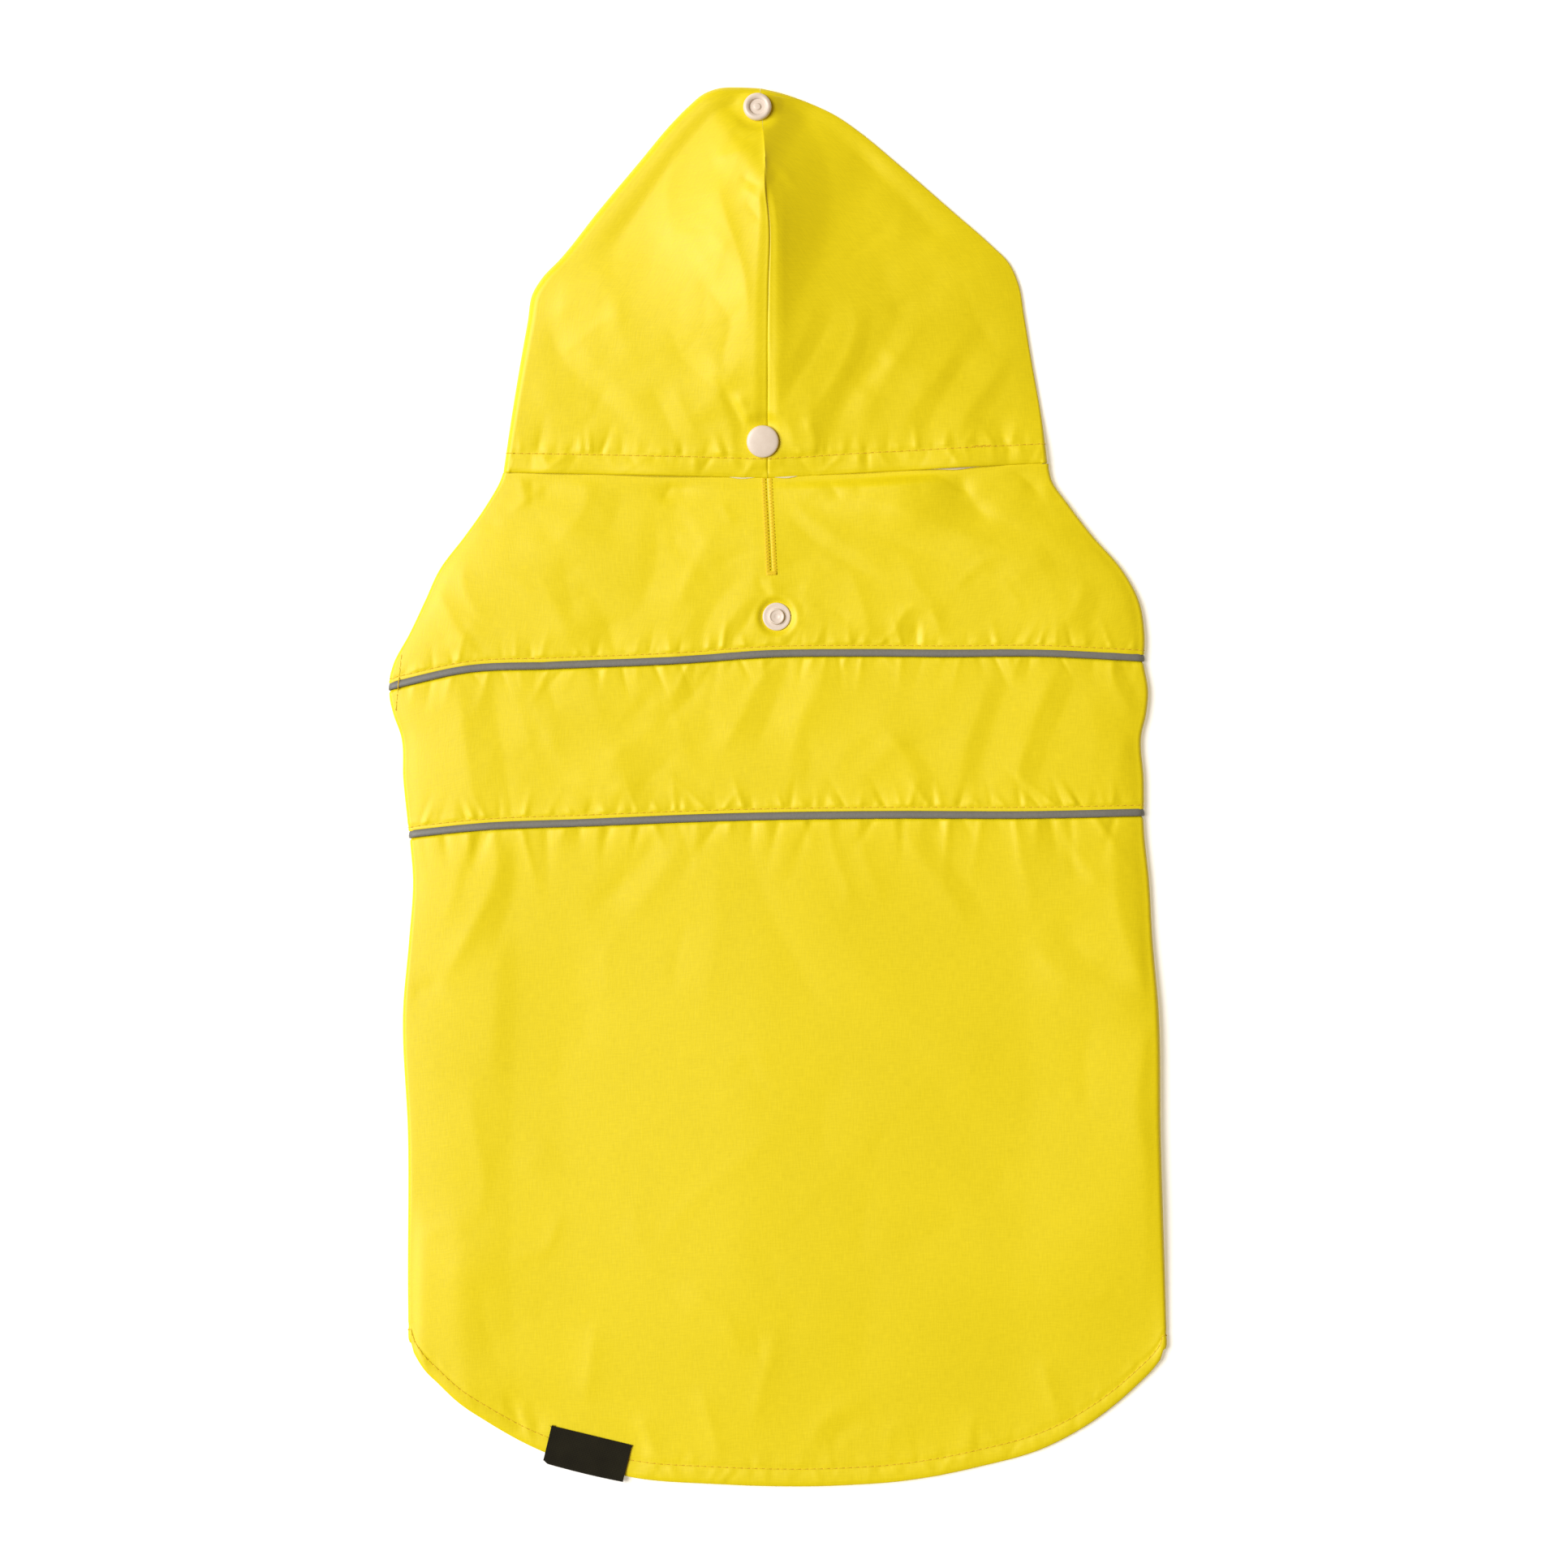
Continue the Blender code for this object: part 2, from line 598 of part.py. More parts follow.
def piping(name, upper_panel, lower_panel):
    """A cord in the seam between two panels, flattened where it lies on the floor."""
    upper_edge, lower_edge = Row(upper_panel, 1.0), Row(lower_panel, 0.0)
    middle = (np.array(upper_edge.points()) + np.array(lower_edge.points())) / 2
    top_points = middle[SIDE_COLUMNS:-SIDE_COLUMNS][1::2]
    path = np.vstack([middle[:SIDE_COLUMNS], top_points, middle[-SIDE_COLUMNS:]])
    path[0] += (path[1] - path[0]) * PIPING_END_TRIM
    path[-1] += (path[-2] - path[-1]) * PIPING_END_TRIM
    corner = math.cos(math.pi / PIPING_SIDES)
    cord = bmesh.new()
    rings = []
    for number, centre in enumerate(path):
        before, after = path[max(number - 1, 0)], path[min(number + 1, len(path) - 1)]
        along = Vector(after - before).normalized()
        outward = along.cross(Vector((0, 1, 0))).normalized()
        sideways = outward.cross(along).normalized()
        upright = ease((outward.z + 0.9) / 1.2)
        half_height = WALL / 2 + (PIPING_HEIGHT - WALL) / 2 * upright
        half_height = half_height * PIPING_FLATNESS / corner
        ring = []
        for step in range(PIPING_SIDES):
            angle = 2 * math.pi * (step + 0.5) / PIPING_SIDES
            across = PIPING_WIDTH / 2 * math.cos(angle)
            out = half_height * math.sin(angle) + PIPING_PROUD * upright
            offset = sideways * across + outward * out
            ring.append(cord.verts.new((Vector(centre) + offset) * MM))
        rings.append(ring)
    for one, other in zip(rings, rings[1:]):
        for step in range(PIPING_SIDES):
            after = (step + 1) % PIPING_SIDES
            cord.faces.new((one[step], one[after], other[after], other[step]))
    cord.faces.new(rings[0])
    cord.faces.new(rings[-1][::-1])
    bmesh.ops.recalc_face_normals(cord, faces=cord.faces)
    mesh = bpy.data.meshes.new(name)
    cord.to_mesh(mesh)
    cord.free()
    return finish_object(name, mesh, PIPING_GREY)


HOOD_TOP_COLUMNS = 18


def hood_outline(side, share):
    """Point on the hood's outline, a share of its length from the hem corner to the crown."""
    table = HOOD_OUTLINES[side]
    x, y = column(table, "x"), column(table, "y")
    lengths = np.concatenate([[0.0], np.cumsum(np.hypot(np.diff(x), np.diff(y)))])
    at = share * lengths[-1]
    return np.array([float(smooth_through(lengths, x, at)), float(smooth_through(lengths, y, at))])


def hood_level(side, x, y, line_share, from_seam, ridge, rim):
    """Height of the middle of the hood's wall; from_seam goes from 0 to 1 at the roll."""
    level = rim + (ridge - rim) * (1 - from_seam ** 2) ** 1.5
    fade = ease(line_share / 0.12) * ease((1 - from_seam) / 0.15) * ease(from_seam / 0.08)
    level = level + fold_relief(HOOD_FOLDS, x, y) * fade
    hem = gathers(x, (y - 120.0) * 0.6, 0.21)
    level = level + np.abs(hem) * ease(line_share / 0.03) * ease((1 - from_seam) / 0.1)
    level = flatten_to(CAP_SEAT, x, y, level)
    return flatten_to(SOCKET_SEAT, x, y, level)


def hood_line(side, line_share):
    """Mid points from the border's inner edge, round the roll, over the top to the seam."""
    outer = hood_outline(side, line_share)
    seam_y = HOOD_SEAM[0].y + (HOOD_SEAM[-1].y - HOOD_SEAM[0].y) * line_share
    knots = column(HOOD_SEAM, "y")
    seam_x = float(smooth_through(knots, column(HOOD_SEAM, "x"), seam_y))
    ridge = float(smooth_through(knots, column(HOOD_SEAM, "level"), seam_y))
    half_gap = HOOD_SEAM_HALF_GAP + HOOD_SEAM_SPREAD * line_share
    seam = np.array([seam_x - SIDES[side] * half_gap, seam_y])
    rim = HOOD_HEM_LEVEL + (HOOD_CROWN_LEVEL - HOOD_HEM_LEVEL) * line_share
    radius = (rim - WALL / 2) / 2
    roll = radius + WALL / 2
    inward = seam - outer
    length = float(np.hypot(*inward))
    inward = inward / length
    border = min(HOOD_BORDER, HOOD_BORDER_MOST * length)
    points = [(*(outer + inward * at), WALL / 2) for at in (border, (border + roll) / 2)]
    for angle in ROLL_ANGLES:
        at = roll - radius * math.cos(angle)
        points.append((*(outer + inward * at), WALL / 2 + radius * (1 + math.sin(angle))))
    across = np.append(np.linspace(0.0, 0.97, HOOD_TOP_COLUMNS - 1), (0.985, 1.0))[1:]
    place = outer[:, None] + inward[:, None] * (roll + across * (length - roll))
    level = hood_level(side, place[0], place[1], line_share, 1 - across, ridge, rim)
    return points + list(zip(place[0], place[1], level))


def hood_halves():
    for side in SIDES:
        rows = [hood_line(side, share) for share in HOOD_LINES]
        sheet("hood_" + side, rows, WALL, YELLOW_CLOTH, flip=side == "left")


def hood_hem_y(x):
    """The hood's hem edge where it lies across the yoke."""
    left, right = HOOD_OUTLINES["left"][0], HOOD_OUTLINES["right"][0]
    seam = HOOD_SEAM[0]
    return np.interp(x, (left.x, seam.x, right.x), (left.y, seam.y, right.y))


def hood_lining():
    """The strip of lining just inside the hood's hem, which peeps out in two places."""
    x = np.linspace(-LINING_HALF_WIDTH, LINING_HALF_WIDTH, 33)
    peep = np.exp(-((x + 6) / 12.0) ** 4) + np.exp(-((x - 65) / 13.0) ** 4)
    low = hood_hem_y(x) + LINING_SETBACK - LINING_PEEP * peep
    high = hood_hem_y(x) + LINING_DEPTH
    level = TOP_LEVEL + WALL / 2 + SEAM_GAP + LINING_WALL / 2
    rows = [[(a, b, level) for a, b in zip(x, edge)] for edge in (high, low)]
    sheet("hood_lining", rows, LINING_WALL, LINING_CREAM)


def label():
    """A woven label folded round the hem, its long fold just past the edge."""
    over = LABEL_SEAT.level + WALL / 2 + SEAM_GAP + LABEL_WALL / 2
    under = LABEL_SEAT.level - WALL / 2 - SEAM_GAP - LABEL_WALL / 2
    radius = (over - under) / 2
    turn = -LABEL_HEIGHT / 2 + LABEL_WALL / 2 + radius
    section = [(LABEL_HEIGHT / 2, over), (0.0, over)]
    for angle in np.radians([90, 130, 170, 210, 250, 270]):
        section.append((turn + radius * math.cos(angle), (over + under) / 2 + radius * math.sin(angle)))
    section.append((turn + LABEL_UNDER_LEAF, under))
    tilt = Matrix.Rotation(math.radians(LABEL_TILT), 2)
    rows = []
    for down, level in section:
        row = []
        for along in np.linspace(-LABEL_LENGTH / 2, LABEL_LENGTH / 2, 7):
            place = tilt @ Vector((along, down)) + Vector(LABEL_CENTRE)
            row.append((place.x, place.y, level))
        rows.append(row)
    sheet("label", rows, LABEL_WALL, LABEL_BLACK)


def snaps():
    turned("hood_cap_snap", CAP_PROFILE, CAP_SEAT, SEAM_GAP, SNAP_PLASTIC)
    turned("back_stud_snap", STUD_PROFILE, STUD_SEAT, SEAM_GAP, SNAP_PLASTIC)
    turned("crown_socket_snap", SOCKET_PROFILE, SOCKET_SEAT, SEAM_GAP, SNAP_PLASTIC)


panels = back_panels()
leash_slot(panels["yoke"])
belly_panel()
piping("piping_upper", YOKE, BAND)
piping("piping_lower", BAND, SKIRT)
hood_halves()
hood_lining()
label()
snaps()
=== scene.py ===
# %% [markdown]
# # A dog raincoat with a hood, laid flat
#
# The coat lies on the floor with its back up.  Its solids already give the size and place of
# every piece.  This lesson dresses them: thin cloth with its creases, the sewing, the reflective
# pipings, the snaps and the label.  The first cell loads the solids and keeps them, each in its
# place.

import math
from collections import namedtuple

import bmesh
import bpy
import numpy as np
from mathutils import Matrix, Vector


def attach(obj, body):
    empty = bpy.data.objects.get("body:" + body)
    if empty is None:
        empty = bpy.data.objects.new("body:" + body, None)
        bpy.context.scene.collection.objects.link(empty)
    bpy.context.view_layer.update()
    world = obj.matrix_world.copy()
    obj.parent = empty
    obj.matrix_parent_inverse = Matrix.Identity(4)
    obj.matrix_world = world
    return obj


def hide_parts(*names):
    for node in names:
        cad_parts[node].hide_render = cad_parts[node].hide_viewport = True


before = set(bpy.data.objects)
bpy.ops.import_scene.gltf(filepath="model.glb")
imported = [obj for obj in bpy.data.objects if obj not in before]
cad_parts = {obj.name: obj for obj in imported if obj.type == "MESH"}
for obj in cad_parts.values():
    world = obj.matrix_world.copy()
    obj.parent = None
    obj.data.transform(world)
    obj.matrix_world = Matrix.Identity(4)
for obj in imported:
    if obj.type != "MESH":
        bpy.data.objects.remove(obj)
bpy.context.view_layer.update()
MM = 0.001

# %% [markdown]
# Operators act on everything that is selected, so each step first selects its own piece alone.

# %% Select one piece, apply its modifiers
def alone(piece):
    bpy.ops.object.select_all(action="DESELECT")
    piece.select_set(True)
    bpy.context.view_layer.objects.active = piece


def apply_modifiers(piece):
    alone(piece)
    for modifier in list(piece.modifiers):
        bpy.ops.object.modifier_apply(modifier=modifier.name)


print("selected after the load:", len(bpy.context.selected_objects))

# %% [markdown]
# ## Camera, floor and light
#
# The camera looks straight down, so its place is the middle of the view and its height.  The
# view is 602 mm wide at the height of the cloth.

# %% Camera
VIEW_MIDDLE = (2.34, 0.78)
VIEW_WIDTH = 602.0
CLOTH_HEIGHT = 5.0
CAMERA_HEIGHT = 1900.0
SENSOR = 36.0
NEAREST_SEEN = 0.05

bpy.ops.object.camera_add(location=(VIEW_MIDDLE[0] * MM, VIEW_MIDDLE[1] * MM, CAMERA_HEIGHT * MM))
camera = bpy.context.active_object
camera.name = "camera"
camera.data.sensor_width = SENSOR
camera.data.lens = SENSOR * (CAMERA_HEIGHT - CLOTH_HEIGHT) / VIEW_WIDTH
camera.data.clip_start = NEAREST_SEEN
bpy.context.scene.camera = camera
print("lens:", round(camera.data.lens, 2), "mm")

# %% [markdown]
# The light is one large soft disc, far away on the left.  The sky is dim and warm, as in a room
# where yellow cloth throws its own colour back, so cloth that leans to the right loses its sheen
# and turns towards orange.  Creases in smooth cloth show only by that shading.

# %% Light
KEY_DIRECTION = Vector((-0.625, 0.110, 0.769)).normalized()
KEY_DISTANCE, KEY_SIZE, KEY_POWER = 7.0, 5.1, 624.0
SKY_COLOUR, SKY_STRENGTH = (1.0, 0.66, 0.22, 1.0), 0.22

bpy.ops.object.light_add(type="AREA", location=KEY_DIRECTION * KEY_DISTANCE)
key_light = bpy.context.active_object
key_light.name = "key_light"
key_light.data.shape = "DISK"
key_light.data.size = KEY_SIZE
key_light.data.energy = KEY_POWER
key_light.rotation_mode = "QUATERNION"
key_light.rotation_quaternion = KEY_DIRECTION.to_track_quat("Z", "Y")
sky = bpy.data.worlds.new("sky")
sky.use_nodes = True
background = sky.node_tree.nodes["Background"].inputs
background["Color"].default_value = SKY_COLOUR
background["Strength"].default_value = SKY_STRENGTH
bpy.context.scene.world = sky
bpy.context.scene.view_settings.view_transform = "Standard"
print("key light at", [round(v, 2) for v in KEY_DIRECTION * KEY_DISTANCE])

# %% [markdown]
# ## Materials
#
# A pattern is easier to read as a sum than as a web of nodes.  This small class wraps one socket
# and turns + and * into Math nodes.

# %% Shader maths as expressions
class Wave:
    """One number that changes over the surface."""

    def __init__(self, shop, socket):
        self.shop, self.socket = shop, socket

    def _with(self, operation, first, second=None):
        values = [first] if second is None else [first, second]
        return self.shop.node("ShaderNodeMath", {"operation": operation}, values)

    def __add__(self, other):
        return self._with("ADD", self, other)

    def __radd__(self, other):
        return self._with("ADD", other, self)

    def __mul__(self, other):
        return self._with("MULTIPLY", self, other)

    def __rmul__(self, other):
        return self._with("MULTIPLY", other, self)

    def sine(self):
        return self._with("SINE", self)

    def size(self):
        return self._with("ABSOLUTE", self)


# %% [markdown]
# Each finish could be wired by hand in the shader editor.  Here a shop holds one material in the
# making: any node comes from its one method `node`, and the other methods name the few patterns
# that cloth needs, so every finish below reads as a short list.

# %% A material in the making
class Shop:
    """A material in the making."""

    def __init__(self, name, colour, roughness):
        self.material = bpy.data.materials.new(name)
        self.material.use_nodes = True
        self.tree = self.material.node_tree
        self.shader = self.tree.nodes["Principled BSDF"]
        self.set(**{"Base Color": (*colour, 1.0), "Roughness": roughness})

    def set(self, **values):
        for name, value in values.items():
            if isinstance(value, Wave):
                self.tree.links.new(value.socket, self.shader.inputs[name])
            else:
                self.shader.inputs[name].default_value = value

    def node(self, kind, settings=None, values=(), output=0):
        """Any node: its settings first, then its sockets by place or by name."""
        made = self.tree.nodes.new(kind)
        for name, value in (settings or {}).items():
            if name == "stops":
                for number, (place, colour) in enumerate(value):
                    stops = made.color_ramp.elements
                    stop = stops[number] if number < 2 else stops.new(place)
                    stop.position, stop.color = place, (*colour, 1.0)
            else:
                setattr(made, name, value)
        pairs = values.items() if isinstance(values, dict) else enumerate(values)
        for name, value in pairs:
            if isinstance(value, Wave):
                self.tree.links.new(value.socket, made.inputs[name])
            else:
                made.inputs[name].default_value = value
        return Wave(self, made.outputs[output])

    def across_and_along(self):
        """The piece's own flat coordinates, in metres."""
        uv = self.node("ShaderNodeUVMap", {"uv_map": "flat"})
        split = self.tree.nodes.new("ShaderNodeSeparateXYZ")
        self.tree.links.new(uv.socket, split.inputs[0])
        return Wave(self, split.outputs["X"]), Wave(self, split.outputs["Y"])

    def cloud(self, size, detail=3.0):
        """Soft noise from 0 to 1, with patches of this size in millimetres."""
        where = self.node("ShaderNodeTexCoord", output="Object")
        values = {"Vector": where, "Scale": 1 / (size * MM), "Detail": detail, "Roughness": 0.55}
        return self.node("ShaderNodeTexNoise", values=values, output="Fac")

    def streaks(self, across_size, along_size):
        """Noise from 0 to 1, drawn out along the piece's own flat coordinates."""
        across, along = self.across_and_along()
        where = self.node("ShaderNodeCombineXYZ", values=[
            across * (1 / (across_size * MM)), along * (1 / (along_size * MM))])
        values = {"Vector": where, "Scale": 1.0, "Detail": 1.0}
        return self.node("ShaderNodeTexNoise", values=values, output="Fac")

    def colours(self, share, *stops):
        return self.node("ShaderNodeValToRGB", {"stops": stops}, {"Fac": share}, "Color")

    def paint(self, share, *stops):
        """The base colour, from one stop to the other as the share rises."""
        self.set(**{"Base Color": self.colours(share, *stops)})

    def bump(self, height, depth):
        """Relief of this depth in millimetres where height goes from 0 to 1."""
        values = {"Height": height, "Distance": depth * MM, "Strength": 1.0}
        self.set(Normal=self.node("ShaderNodeBump", values=values))


def turns(coordinate, pitch):
    """The sine of a coordinate in metres, once round for each pitch in millimetres."""
    return (coordinate * (2 * math.pi / (pitch * MM))).sine()


# %% [markdown]
# The shell is smooth woven cloth with a waterproof coating.  Straight down it looks matt yellow,
# but it shines a little where it leans towards the light.  The yarns are finer than a hair, so
# only their unevenness is seen, as faint short streaks across and along the cloth.

# %% Yellow shell cloth
def shell_cloth(name, tint, roughness):
    shop = Shop(name, tint, roughness)
    weft = shop.streaks(4.5, 0.55)
    warp = shop.streaks(0.55, 4.5)
    patches = shop.cloud(30.0)
    yarns = (weft + warp) * 0.5
    dark = tuple(v * 0.93 for v in tint)
    light = tuple(min(v * 1.06, 1.0) for v in tint)
    shop.paint(yarns * 0.8 + patches * 0.2, (0.3, dark), (0.7, light))
    shop.set(Roughness=roughness - 0.06 + yarns * 0.12, **{"Specular IOR Level": 0.40})
    shop.bump(yarns * 0.7 + shop.cloud(5.0, 4.0) * 0.5, 0.06)
    return shop.material


SHELL_YELLOW = (0.815, 0.672, 0.004)
shell = shell_cloth("shell_yellow", SHELL_YELLOW, 0.46)
print("shell cloth:", len(shell.node_tree.nodes), "nodes")

# %% [markdown]
# The thread is the same yellow and twisted.  Where it goes down, the needle has pressed a small
# pit into the cloth, and the shade in that pit is painted as a dull orange-brown colour.

# %% Thread
def thread(name, tint):
    shop = Shop(name, tint, 0.55)
    across, along = shop.across_and_along()
    twist = turns(across + along * 0.7, 0.5) * 0.5 + 0.5
    shop.paint(twist, (0.0, tuple(v * 0.86 for v in tint)), (1.0, tint))
    shop.bump(twist, 0.03)
    return shop.material


yellow_thread = thread("yellow_thread", (0.88, 0.64, 0.010))
# Painted shade: this dull orange-brown stands in for the shade in the needle pits, on the discs
# between stitches.
painted_pit_shade = Shop("needle_pit_painted_shade", (0.66, 0.40, 0.004), 0.8).material
print("thread:", yellow_thread.name)

# %% [markdown]
# The piping is a flat grey tape with a reflective face.  The face is a bed of glass beads finer
# than the eye can part, so it is a smooth mid grey with a faint grain, and not a mirror.  Along
# both edges the shade where it goes into the seam is painted as a dark brown rim.

# %% Reflective piping
TAPE_SEAM_SHADE = 1.6              # painted seam shade: the tape turns dark brown where it goes into the seam, this far out


def reflective_tape():
    shop = Shop("reflective_grey", (0.18, 0.18, 0.17), 0.5)
    across, along = shop.across_and_along()
    grain = shop.cloud(0.9, 3.0)
    worn = shop.cloud(14.0)
    # Painted shade: near either edge the face colour turns dark brown, for the shade where the tape
    # goes into the seam.
    edge = (across * (1 / (TAPE_SEAM_SHADE * MM))).size()
    rim = shop.node("ShaderNodeMapRange", {}, {
        "Value": edge, "From Min": 0.80, "From Max": 1.0, "To Min": 0.0, "To Max": 1.0})
    face = shop.colours(grain * 0.6 + worn * 0.4,
                        (0.25, (0.155, 0.155, 0.146)), (0.75, (0.205, 0.204, 0.192)))
    painted_seam_shade = (0.060, 0.040, 0.014, 1.0)
    colour = shop.node("ShaderNodeMix", {"data_type": "RGBA"}, {0: rim, 6: face, 7: painted_seam_shade}, 2)
    shop.set(**{"Base Color": colour, "Roughness": 0.45 + grain * 0.12})
    shop.bump(grain, 0.05)
    return shop.material


piping_grey = reflective_tape()
print("piping:", len(piping_grey.node_tree.nodes), "nodes")

# %% [markdown]
# The lining is a plain cream weave, the label a coarse black ribbon weave, and the snaps are
# moulded plastic with a satin face.

# %% Lining, label and snap plastic
def plain_weave(name, tint, pitch, depth, roughness):
    shop = Shop(name, tint, roughness)
    across, along = shop.across_and_along()
    weave = turns(across, pitch) * turns(along, pitch) * 0.5 + 0.5
    low = tuple(v * 0.8 for v in tint)
    fibre = shop.cloud(2.5)
    shop.paint(weave * 0.5 + fibre * 0.5, (0.2, low), (0.8, tint))
    shop.bump(weave + fibre * 0.4, depth)
    return shop.material


def ribbon_weave():
    shop = Shop("label_black", (0.010, 0.009, 0.005), 0.85)
    shop.set(**{"Specular IOR Level": 0.22})
    across, along = shop.across_and_along()
    ribs = turns(along, 0.5) * 0.5 + 0.5
    picks = turns(across, 0.62) * 0.5 + 0.5
    worn = shop.cloud(9.0)
    shop.paint(ribs * 0.35 + picks * 0.15 + worn * 0.5,
               (0.25, (0.005, 0.004, 0.002)), (0.8, (0.020, 0.018, 0.008)))
    shop.bump(ribs * 0.8 + picks * 0.4, 0.09)
    return shop.material


def snap_plastic():
    shop = Shop("snap_plastic", (0.74, 0.71, 0.69), 0.36)
    mottle = shop.cloud(3.0)
    shop.paint(mottle, (0.3, (0.745, 0.645, 0.570)), (0.7, (0.785, 0.690, 0.615)))
    shop.set(Roughness=0.28 + mottle * 0.14)
    shop.bump(shop.cloud(0.8), 0.01)
    return shop.material


lining_cream = plain_weave("lining_cream", (0.84, 0.74, 0.46), 0.5, 0.05, 0.7)
label_black = ribbon_weave()
plastic = snap_plastic()
print("materials:", [m.name for m in bpy.data.materials if m.users][-6:])

# %% [markdown]
# The floor is a plain white lit table.  It glows a little, so the coat's shadow on it stays pale.

# %% Floor
FLOOR_WIDTH = 8.0
paint = Shop("floor_white", (0.92, 0.92, 0.92), 0.85)
paint.set(**{"Emission Color": (1.0, 1.0, 1.0, 1.0), "Emission Strength": 0.30})
paint.bump(paint.cloud(30.0), 0.05)

bpy.ops.object.select_all(action="DESELECT")
bpy.ops.mesh.primitive_plane_add(size=FLOOR_WIDTH, location=(0.0, 0.0, 0.0))
floor = bpy.context.active_object
floor.name = "floor"
floor.data.materials.append(paint.material)
print("floor:", floor.name)

# %% [markdown]
# ## The lines of the coat
#
# The same few tables that shape the solids shape the cloth: where the sides run, where the
# seams cross the back, and how the hood's outline turns.  A smooth curve runs through each.

# %% Curves through stations
def smooth_through(knots, values, at):
    """Values at `at` of the smooth curve through (knots, values), knots rising."""
    knots, values = np.asarray(knots, float), np.asarray(values, float)
    slopes = np.gradient(values, knots)
    at = np.clip(np.asarray(at, dtype=float), knots[0], knots[-1])
    index = np.clip(np.searchsorted(knots, at) - 1, 0, len(knots) - 2)
    step = knots[index + 1] - knots[index]
    t = (at - knots[index]) / step
    start = (1 + 2 * t) * (1 - t) ** 2 * values[index] + t * (1 - t) ** 2 * step * slopes[index]
    end = t * t * (3 - 2 * t) * values[index + 1] + t * t * (t - 1) * step * slopes[index + 1]
    return start + end


def lengths_along(line):
    """How far along the line each of its points lies."""
    return np.append(0.0, np.cumsum(np.linalg.norm(np.diff(line, axis=0), axis=1)))


def curve_through(lengths, points, at):
    """Points of the smooth curve through flat points told along a line."""
    return np.column_stack([smooth_through(lengths, column, at) for column in points.T])


def ease(value):
    """Smooth step from 0 to 1 while value goes from 0 to 1."""
    value = np.clip(value, 0.0, 1.0)
    return value * value * (3 - 2 * value)


def hump(distance, width):
    """1 at a line, and away from it a soft fall to 0."""
    return np.exp(-((distance / width) ** 2))


print("a hump 2 mm wide, at 0 and 2 mm:", np.round(hump(np.array([0.0, 2.0]), 2.0), 2))

# %% [markdown]
# Here a height is a place up the back, in millimetres from the coat's middle.  A seam tells its
# height at shares of the way from the left side to the right.  Its turn is how far it climbs on
# the underside for each millimetre inwards.

# %% Lines of the back
EDGE_Y = (-220.0, -196.8, -134.5, -84.6, -59.7, -34.7, -18.5, 2.6, 19.8, 27.6, 36.9, 46.3,
          58.7, 71.2, 83.7, 96.1, 108.6, 117.3, 122.0)
EDGE_X = {
    "left": (-142.0, -142.3, -142.3, -144.1, -141.9, -140.4, -141.9, -144.1, -145.1, -147.9,
             -149.7, -148.1, -141.6, -135.7, -129.8, -120.4, -111.7, -106.8, -105.2),
    "right": (149.7, 149.1, 147.2, 146.3, 144.1, 142.6, 140.9, 140.7, 139.8, 141.6,
              142.4, 140.9, 141.0, 138.8, 131.9, 121.0, 111.4, 105.4, 104.2),
}
SIDES = {"left": 1.0, "right": -1.0}

Seam = namedtuple("Seam", "shares heights left_turn right_turn")
NECK = Seam((0.0, 0.5, 1.0), (120.4, 118.1, 123.9), 0.0, 0.0)
UPPER = Seam((0.0, 0.11, 0.21, 0.38, 0.51, 0.60, 0.75, 0.85, 1.0),
             (38.2, 45.0, 46.2, 48.2, 50.8, 51.1, 50.9, 51.1, 49.2), -0.2, -0.05)
LOWER = Seam((0.0, 0.09, 0.24, 0.44, 0.66, 0.85, 1.0),
             (-18.6, -15.9, -14.1, -12.0, -11.1, -11.1, -10.2), -0.1, 0.0)
HEM = Seam((0.0, 0.018, 0.040, 0.061, 0.104, 0.168, 0.232, 0.296, 0.40, 0.574, 0.659, 0.745,
            0.851, 0.915, 0.958, 0.985, 1.0),
           (-213.9, -222.9, -229.5, -235.4, -244.1, -254.4, -261.0, -265.5, -267.9, -268.5,
            -266.6, -261.9, -252.5, -241.3, -230.7, -222.6, -216.4), 1.2, 1.2)
print("body lines:", len(EDGE_Y), "edge stations,", len(HEM.shares), "hem stations")

# %% [markdown]
# ## Creases
#
# Thin cloth does not swell like a balloon.  It falls into flat facets that meet in soft ridges
# and troughs.  Each is a path of a few points, with a width on either side of it and a rise:
# above 0 it is a ridge, below 0 a trough.  From its line the height falls off at once, so each
# side reads as a facet, and a narrow side is a steep one.  The left and right of a crease are
# those of a path told from its top down.  Every crease is placed one by one in its own size,
# because a pattern that repeats is the surest sign of made-up cloth.

# %% Crease relief
Crease = namedtuple("Crease", "left right rise path")
CREASE_STEPS = 14
CREASE_TAPER = 0.32         # a crease rises and fades over this share of its path


def facet(distance, width):
    """1 at a line and a straight fall beside it, rounded at the line and faded at its foot."""
    tip = 0.14 * width + 0.3
    return np.exp(-(np.sqrt(distance ** 2 + tip ** 2) - tip) / width)


